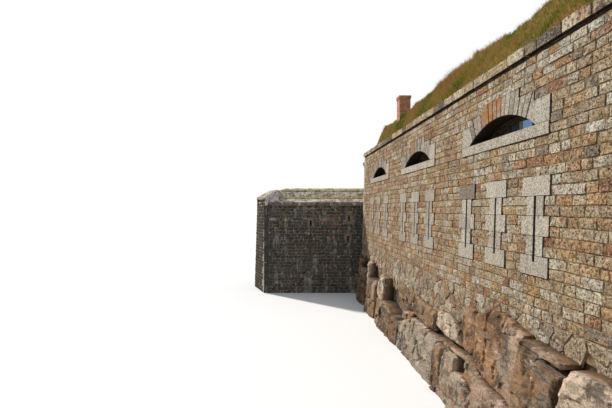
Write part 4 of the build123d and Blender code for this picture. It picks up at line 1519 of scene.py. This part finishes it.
def grass(name, seed, count, x, y, height, length):
    """Blades of grass over part of the bank, in clumps, as one joined mesh."""
    pile = Pile(seed)
    rng = pile.rng
    across = rng.uniform(x[0], x[1], 3 * count)
    back = rng.uniform(y[0], y[1], 3 * count)
    clump = 1.7 * noise_field(across, back, (1.3, 1.3), 15.0)
    keep = rng.random(3 * count) < 0.38 + 0.25 * clump
    keep &= (across > WALL_LEFT) | (back > ROOT_TOE)
    across, back, clump = across[keep][:count], back[keep][:count], clump[keep][:count]
    total = len(across)
    ground = height(across, back)
    tussocks = 1 + 0.9 * np.exp(-((across - TUSSOCKS_AT) / TUSSOCKS_SPREAD) ** 2)
    tall = length * rng.uniform(0.4, 1.0, total) * (0.85 + 0.3 * clump) * tussocks
    turn = rng.uniform(0, 2 * math.pi, total)
    lean = rng.uniform(0.05, 0.7, total)
    half = 0.006 + 0.005 * rng.random(total)
    foot = np.stack((across, back, ground - 0.01), axis=-1)
    side = np.stack((np.cos(turn), np.sin(turn), np.zeros(total)), axis=-1) * half[:, None]
    bend = np.stack((-np.sin(turn), np.cos(turn), np.zeros(total)), axis=-1)
    bend[:, 1] -= 0.35
    tip = foot + bend * (tall * lean)[:, None]
    tip[:, 2] += tall
    straw = noise_field(across, back, (0.5, 1.2), 17.0)
    tone = 0.3 + 0.12 * clump + 0.36 * straw + rng.normal(0, 0.17, total)
    tone = np.clip(tone[:, None] + np.array((-0.05, -0.05, 0.36)), 0, 1)
    blades = np.arange(3 * total).reshape(-1, 3).tolist()
    pile.add(np.stack((foot - side, foot + side, tip), axis=1), blades, tone=tone.ravel())
    pile.build(name, "turf")


def bank():
    """Turfed parapet and walk."""
    bank_surface()
    walk_surface()
    share = 1.0
    front = (BANK_LOW.x + 0.6, BANK_HIGH.x - 0.4)
    slope = (COPING_BACK, CREST_BACK + 0.35)
    ends = (BANK_LOW.x, BANK_HIGH.x)
    crest = (CREST_BACK + 0.15, WALK_FRONT)
    walk = (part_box("rampart_walk")[0].x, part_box("rampart_walk")[1].x)
    back = (WALK_FRONT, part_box("rear_coping")[0].y)
    for name, seed, blades, *where in (
        ("front_slope_grass", 52, 190000, front, slope, bank_height, 0.22),
        ("crest_grass", 53, 150000, ends, crest, bank_height, 0.18),
        ("walk_grass", 54, 90000, walk, back, walk_height, 0.1),
    ):
        grass(name, seed, int(blades * share), *where)


# Chimney
STACK_FOOT = 10.2
STACK_CAP = 0.15
STACK_OVERHANG = 0.035
BRICK_COURSE = 0.075


def chimney():
    """Bricks of the stack, in courses with broken joints."""
    low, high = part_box("chimney_stack")
    pile = Pile(61)
    for level in range(round((high.z - STACK_FOOT) / BRICK_COURSE)):
        top = high.z - 0.006 - level * BRICK_COURSE
        inward = 0.0 if top > high.z - STACK_CAP else STACK_OVERHANG
        left, right = low.x + inward, high.x - inward
        front, back = low.y + inward, high.y - inward
        width = right - left
        corners = rectangle(left, right, front, back)
        turns = [(1, 0, 0), (0, 1, 0), (-1, 0, 0), (0, -1, 0)]
        for number, (corner, along) in enumerate(zip(corners, turns)):
            face = Face((*corner, 0), along)
            if (level + number) % 2:
                joints = [0.0, width / 6, width / 2, 5 * width / 6, width]
            else:
                joints = [0.0, width / 3, 2 * width / 3, width]
            for span in itertools.pairwise(joints):
                band = (top - BRICK_COURSE, top)
                laid_stone(pile, face, span, band, 0.003, 0.0005, 3, 3, 0.002)
    pile.build("chimney_bricks", "brick")


# Rear and ends
def other_walls():
    """Courses of the rear wall and of both ends of the row."""
    holes = []
    for centre in REAR_CENTRES:
        holes += lunette_holes(centre)
        half = DOOR_WIDTH / 2 + DOOR_TRIM
        holes.append(box_hole((centre - half, centre + half), (FLOOR_LEVEL, DOOR_SPRINGING)))
        holes.append(round_hole(centre, half, DOOR_SPRINGING))
    pile = Pile(71)
    beds = courses(
        (0.0, FLOOR_LEVEL, 14),
        (FLOOR_LEVEL, DOOR_SPRINGING, 11),
        (DOOR_SPRINGING, SURROUND_BOTTOM, 8),
        (SURROUND_BOTTOM, SHOULDER, 4),
        (SHOULDER, CROWN, 2),
        (CROWN, WALL_TOP, 3),
    )
    coursed_wall(pile, REAR, (-WALL_RIGHT, -FLANK_FACE), beds, holes, 0.5, COARSE)
    pile.build("rear_courses", "coursed_granite")

    # Near end, whose courses start further back at each step up the leaning face
    pile = Pile(72)
    near = Face((WALL_RIGHT, 0, 0), (0, 1, 0))
    full_beds = courses((0.0, WALL_TOP, 42))
    coursed_wall(pile, near, (WALL_DEPTH, REAR_FACE), full_beds, (), 0.5, COARSE)
    for low, high in itertools.pairwise(courses((SILL_UNDERSIDE, WALL_TOP, 12))):
        span = (BATTER * high + 0.01, WALL_DEPTH)
        coursed_wall(pile, near, span, courses((low, high, 2)), (), 0.4, COARSE)
    pile.build("near_end_courses", "coursed_granite")

    # Masonry over the caponier's root, and in the corner beside the ditch wall
    pile = Pile(74)
    front = Face((0, ROOT_FRONT, 0), (1, 0, 0))
    corner = Face((0, CORNER_DEPTH, 0), (1, 0, 0))
    far = Face((FAR_END, 0, 0), (0, -1, 0))
    beds = courses((CAPONIER_TOP, WALL_TOP, 15))
    coursed_wall(pile, front, (FAR_END, FLANK_FACE), beds, (), 0.5, COARSE)
    coursed_wall(pile, corner, (FLANK_FACE, WALL_LEFT), full_beds, (), 0.4, COARSE)
    coursed_wall(pile, far, (-REAR_FACE, -ROOT_FRONT), beds, (), 0.5, COARSE)
    coursed_wall(pile, REAR, (-FLANK_FACE, -FAR_END), beds, (), 0.5, COARSE)
    pile.build("root_courses", "coursed_granite")


def round_place(centre, radius, angle):
    """Point on the round head of a doorway."""
    return (centre + radius * math.cos(angle), DOOR_SPRINGING + radius * math.sin(angle))


def rear_doors():
    """Dressed jambs and round heads of the rear doorways."""
    pile = Pile(73)
    half = DOOR_WIDTH / 2
    outer = half + DOOR_TRIM
    jambs = 6
    stones = 11
    height = (DOOR_SPRINGING - FLOOR_LEVEL) / jambs
    for centre in REAR_CENTRES:
        for n in range(jambs):
            low = FLOOR_LEVEL + n * height
            for left, right in ((-outer, -half), (half, outer)):
                stone = rectangle(centre + left, centre + right, low, low + height)
                dressed_stone(pile, REAR, stone, -REAR_STONE_DEPTH, SURROUND_PROUD)
        for n in range(stones):
            angles = [math.pi * (n + share / 3) / stones for share in range(4)]
            outline = [round_place(centre, outer, angle) for angle in angles]
            outline += [round_place(centre, half, angle) for angle in reversed(angles)]
            dressed_stone(pile, REAR, outline, -REAR_STONE_DEPTH, SURROUND_PROUD)
    pile.build("rear_door_stones", "dressed_granite", ("rear_door_surrounds",))


# Caponier
SMALL_SLITS = [(-0.7, 3.36), (-0.64, 4.62), (-3.0, 4.3)]
SMALL_STONE = (0.42, 0.64)
SLIT_LENGTH = 0.35
SLIT_OPEN = 0.1
GALLERY_DOOR = 1.0
GALLERY_SPRINGING = 3.9
GALLERY_FLOOR = 2.0
FLANK_COURSES = 28
NOSE_COURSES = 30

# Tiers of the caponier's roof, as the part has them
TIERS_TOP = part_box("caponier_roof")[1].z
COPING_OVERHANG = 0.08
COPING_BROW = CAPONIER_TOP + 0.2
CAP_FLOOR = CAPONIER_TOP + 0.39
TIER_EDGES = [
    [(-COPING_OVERHANG, CAPONIER_TOP), (-COPING_OVERHANG, COPING_BROW), (0.56, CAP_FLOOR)],
    [(0.65, CAP_FLOOR), (0.65, CAP_FLOOR + 0.07), (1.25, CAP_FLOOR + 0.47)],
    [(1.4, CAP_FLOOR + 0.47), (1.4, CAP_FLOOR + 0.59), (1.92, TIERS_TOP)],
]
TIER_ROWS = (2, 4, 2)
MIDDLE_TIER_INSET = 0.85

# The cap over the nose
CAP_TOP = 6.41
CAP_EDGE = CAP_FLOOR + 0.14
CAP_BACK = NOSE_SHOULDER + 0.9
CAP_OVERHANG = 0.06
CAP_RUN = 0.8
CAP_FLANK_RUN = 0.7


def nose_sides():
    """Foot lines of the nose, from the far shoulder to the tip and on to the near one."""
    tip = (CAPONIER_MIDDLE, NOSE_TIP)
    feet = ((FAR_END, NOSE_SHOULDER), tip, (FLANK_FACE, NOSE_SHOULDER))
    return itertools.pairwise(feet)


def nose_line(x, inward):
    """Place of the nose's foot line at x, moved into the caponier by a distance."""
    slope = (NOSE_SHOULDER - NOSE_TIP) / (FLANK_FACE - CAPONIER_MIDDLE)
    foot = NOSE_TIP + abs(x - CAPONIER_MIDDLE) * slope
    return foot + inward * math.hypot(1.0, slope)


def small_loopholes(pile, face, side, beds):
    """Stones round the caponier's short slits, fitted to the courses, and their holes."""
    holes = []
    wide = SMALL_STONE[0] / 2
    slit, reach = SLIT_OPEN / 2, SLIT_LENGTH / 2
    for y, z in SMALL_SLITS:
        x = y * side
        under = min(beds, key=lambda bed: abs(bed - (z - SMALL_STONE[1] / 2)))
        over = min(beds, key=lambda bed: abs(bed - (z + SMALL_STONE[1] / 2)))
        for stone in (
            rectangle(x - wide, x + wide, under, z - reach),
            rectangle(x - wide, x + wide, z + reach, over),
            rectangle(x - wide, x - slit, z - reach, z + reach),
            rectangle(x + slit, x + wide, z - reach, z + reach),
        ):
            dressed_stone(pile, face, stone, -0.3, 0.012, stain=0.16, wear=0.3)
        holes.append(box_hole((x - wide, x + wide), (under, over)))
    return holes


def caponier():
    """Dark courses of the caponier's walls, with its corner stones and small loopholes."""
    near = Face((FLANK_FACE, 0, 0), (0, 1, 0))
    far = Face((FAR_END, 0, 0), (0, -1, 0))
    beds = courses((0.0, CAPONIER_TOP, FLANK_COURSES))
    stones = Pile(81)
    dressings = Pile(83)
    for face, side in ((near, 1), (far, -1)):
        edge = NOSE_SHOULDER * side
        holes = quoins(stones, face, edge, side, beds, 0.012, tone=0.55)
        holes += small_loopholes(dressings, face, side, beds)
        back = CORNER_DEPTH if side > 0 else REAR_FACE
        ends = sorted((edge, back * side))
        coursed_wall(stones, face, ends, beds, holes, 0.4, 0.1 if side > 0 else COARSE)
    half = GALLERY_DOOR / 2
    doorway = (-CAPONIER_MIDDLE - half, -CAPONIER_MIDDLE + half)
    holes = [box_hole(doorway, (GALLERY_FLOOR, GALLERY_SPRINGING))]
    holes.append(round_hole(-CAPONIER_MIDDLE, half, GALLERY_SPRINGING))
    coursed_wall(stones, REAR, (-FLANK_FACE, -FAR_END), beds, holes, 0.4, COARSE)
    stones.build("caponier_courses", "dark_granite")
    dressings.build("caponier_slit_stones", "dressed_granite", ("caponier_loopholes",))

    beds = courses((0.0, CAP_FLOOR, NOSE_COURSES))
    corners = Pile(82)
    stones = Pile(86)
    for start, end in nose_sides():
        run = np.array((end[0] - start[0], end[1] - start[1], 0.0))
        length = float(np.linalg.norm(run))
        face = Face((start[0], start[1], 0), run, lean=BATTER)
        edge, inward = (length, -1) if end[0] == FLANK_FACE else (0.0, 1)
        holes = quoins(corners, face, edge, inward, beds, 0.012, wear=0.15)
        coursed_wall(stones, face, (0.0, length), beds, holes, 0.4, 0.1, soot=1.0)
    stones.build("nose_courses", "coursed_granite")
    corners.build("caponier_corner_stones", "dressed_granite")


def clad(pile, corners, rows, length, proud=0.012, rough=0.004, **marks):
    """Slabs in rows over a flat shape; its corners run anticlockwise from the lowest edge."""
    corners = np.array(corners, float)
    along = (corners[1] - corners[0]) / np.linalg.norm(corners[1] - corners[0])
    normal = np.cross(along, corners[-1] - corners[0])
    up = np.cross(normal / np.linalg.norm(normal), along)
    face = Face(corners[0], along, up)
    flat = np.stack(((corners - corners[0]) @ along, (corners - corners[0]) @ up), axis=1)
    low, high = flat[:, 1].min(), flat[:, 1].max()
    for row in range(rows):
        band = (low + (high - low) * row / rows, low + (high - low) * (row + 1) / rows)
        moss = marks.get("moss", 1.0 if row == 0 and rows > 1 else 0.3)
        ends = stone_ends((flat[:, 0].min(), flat[:, 0].max()), length, pile.rng)
        for left, right in itertools.pairwise(ends):
            outline = np.array(rectangle(left, right, *band))
            for corner, after in zip(flat, np.roll(flat, -1, axis=0)):
                outward = np.array((after[1] - corner[1], corner[0] - after[0]))
                outline = clipped(outline, corner, outward)
            if len(outline) > 2 and np.ptp(outline, axis=0).min() > 0.03:
                outline = inset(tidied(outline), 0.004)
                rubble_stone(pile, face, outline, proud, rough, **marks | {"moss": moss})


def both_sides(pile, corners, *sizes, **marks):
    """The same slabs on the near half of the caponier's roof and mirrored on the far half."""
    clad(pile, corners, *sizes, **marks)
    mirror = [(FAR_END + FLANK_FACE - x, y, z) for x, y, z in corners]
    clad(pile, [mirror[1], mirror[0], *reversed(mirror[2:])], *sizes, **marks)


def over_nose(x, inward, z):
    """Point over the nose, at a distance into the caponier from the foot line."""
    return (x, nose_line(x, inward), z)


def nose_quad(low, high):
    """Corners of one side of a flat shape over the nose, from the ends of its level edges."""
    quad = [(CAPONIER_MIDDLE, *low[1:]), low, high, (CAPONIER_MIDDLE, *high[1:])]
    return [over_nose(*corner) for corner in quad]


def tier_slabs(pile, tier):
    """Slabs of one tier along both flanks, and over the nose where it is the top one."""
    edges = []
    for inset, z in TIER_EDGES[tier]:
        inward = (BATTER * z, MIDDLE_TIER_INSET, inset)[tier]
        edges.append((FLANK_FACE - inset, inward, z))
    for number, (low, high) in enumerate(itertools.pairwise(edges)):
        back = [(x, ROOT_FRONT, z) for x, _, z in (low, high)]
        rows, length = (TIER_ROWS[tier], 0.34) if number else (1, 0.9)
        # The upright front of the coping gets the grey mark as painted shade; its sloping top stays
        # pale.
        marks = {"wear": 0.0 if number else 0.6, "moss": 0.0} if tier == 0 else {}
        both_sides(pile, [over_nose(*low), *back, over_nose(*high)], rows, length, **marks)
        if tier == len(TIER_EDGES) - 1:
            both_sides(pile, nose_quad(low, high), rows, length)


def cap_slabs(pile):
    """Slabs of the raised cap over the nose: its edge, its slopes, its flanks and its top."""
    def flank(z):
        rise = (z - COPING_BROW) / (CAP_TOP - COPING_BROW)
        return FLANK_FACE + COPING_OVERHANG - CAP_FLANK_RUN * rise

    inward = BATTER * CAP_FLOOR - CAP_OVERHANG
    foot = (flank(CAP_FLOOR), inward, CAP_FLOOR)
    edge = (flank(CAP_EDGE), inward, CAP_EDGE)
    crown = (flank(CAP_TOP), inward + CAP_RUN, CAP_TOP)
    brow = flank(COPING_BROW)
    both_sides(pile, nose_quad(foot, edge), 1, 0.6, moss=0.1)
    both_sides(pile, nose_quad(edge, crown), 2, 0.6, moss=0.1)
    side = [
        over_nose(brow, BATTER * COPING_BROW, COPING_BROW),
        (brow, CAP_BACK, COPING_BROW),
        (crown[0], CAP_BACK, CAP_TOP),
        over_nose(*crown),
        over_nose(*edge),
    ]
    both_sides(pile, side, 1, 0.7, moss=0.0, tone=0.4)
    top = [
        over_nose(CAPONIER_MIDDLE, *crown[1:]),
        over_nose(*crown),
        (crown[0], CAP_BACK, CAP_TOP),
        (CAPONIER_MIDDLE, CAP_BACK, CAP_TOP),
    ]
    both_sides(pile, top, 2, 0.6)


def caponier_roof():
    """Slabs of the caponier's coping, of its stepped roof and of the cap over its nose."""
    coping = Pile(84)
    tier_slabs(coping, 0)
    coping.build("caponier_coping_slabs", "slab_granite")
    roof = Pile(85)
    for tier in (1, 2):
        tier_slabs(roof, tier)
    cap_slabs(roof)
    roof.build("caponier_roof_slabs", "slab_granite")


# Materials of the CAD nodes that still show
def dress_nodes():
    """Gives every CAD node its own finish."""
    finishes = {
        "coursed_granite": LIGHT_MORTAR,
        "rubble_granite": LIGHT_MORTAR,
        "dark_granite": DARK_MORTAR,
        "turf": SOIL,
        "brick": BRICK_MORTAR,
    }
    laid = ("casemate_vault", "cross_walls", "rear_plinth", "root_block", "end_walls")
    slots = {part["node"]: part["material_slot"] for part in frame["record"]["subparts"]}
    for name, node in frame["nodes"].items():
        slot = slots[name]
        material = finishes.get(slot, MATERIALS[slot])
        if name.startswith(laid):
            material = MASONRY
        node.data.materials.clear()
        node.data.materials.append(material)


# Stage, light and camera
def stage():
    """Pale floor, a low warm key from the far left, and a white background."""
    size = 400.0
    mesh = bpy.data.meshes.new("floor")
    corners = [(-size, -size, 0), (size, -size, 0), (size, size, 0), (-size, size, 0)]
    mesh.from_pydata(corners, [], [(0, 1, 2, 3)])
    paint = Shader("floor_paint", 1.0, 0.0)
    seen = paint.add("ShaderNodeLightPath").outputs["Is Camera Ray"]
    paint.colour(paint.mix(seen, (0.28, 0.28, 0.26, 1.0), (0.95, 0.95, 0.95, 1.0)))
    mesh.materials.append(paint.material)
    placed("floor", mesh)

    lamp = bpy.data.lights.new("key", "SUN")
    lamp.energy = 3.6
    lamp.angle = math.radians(3.0)
    lamp.color = (1.0, 0.96, 0.9)
    key = placed("key", lamp)
    key.rotation_mode = "QUATERNION"
    key.rotation_quaternion = Vector((-1.0, -0.95, 1.05)).to_track_quat("Z", "Y")

    world = bpy.data.worlds.new("surroundings")
    bpy.context.scene.world = world
    world.use_nodes = True
    nodes = Nodes(world.node_tree)
    path = nodes.add("ShaderNodeLightPath").outputs
    bounced = nodes.maths("MAXIMUM", path["Is Glossy Ray"], path["Is Transmission Ray"])
    seen = nodes.maths("MAXIMUM", path["Is Camera Ray"], bounced)
    sky = {"Color": (0.82, 0.9, 1.0, 1.0), "Strength": 0.5}
    white = {"Color": (1.0, 1.0, 1.0, 1.0), "Strength": 1.0}
    inputs = {
        0: seen,
        1: nodes.add("ShaderNodeBackground", sky).outputs[0],
        2: nodes.add("ShaderNodeBackground", white).outputs[0],
    }
    both = nodes.add("ShaderNodeMixShader", inputs).outputs[0]
    nodes.tree.links.new(both, nodes.tree.nodes["World Output"].inputs["Surface"])


def camera():
    """Level camera that looks along the wall, with the photograph's small shift."""
    data = bpy.data.cameras.new("camera")
    data.sensor_width = SENSOR
    data.lens = SENSOR * FOCAL_PIXELS / IMAGE_WIDTH
    data.shift_x = (IMAGE_WIDTH / 2 - MEETING_POINT[0]) / IMAGE_WIDTH
    data.shift_y = (MEETING_POINT[1] - IMAGE_HEIGHT / 2) / IMAGE_WIDTH
    view = placed("camera", data)
    view.location = EYE
    view.rotation_mode = "QUATERNION"
    view.rotation_quaternion = Vector((-1, 0, 0)).to_track_quat("-Z", "Y")
    bpy.context.scene.camera = view


FRONT_SURROUNDS = [f"lunette_surround_{n}" for n in range(1, BAY_COUNT + 1)]
REAR_SURROUNDS = ["rear_lunette_surrounds"]

dress_nodes()
ditch_wall()
rubble_foot()
loopholes()
windows()
lunettes("lunette_stones", SCARP, 1, FRONT_SURROUNDS, DRESSED_DEPTH, LOOPHOLE_PROUD, 22)
lunettes("rear_lunette_stones", REAR, -1, REAR_SURROUNDS, REAR_STONE_DEPTH, SURROUND_PROUD, 23)
copings()
bedrock_blocks()
bank()
chimney()
other_walls()
rear_doors()
caponier()
caponier_roof()
stage()
camera()

bpy.context.scene.view_settings.view_transform = "Standard"
bpy.context.view_layer.update()
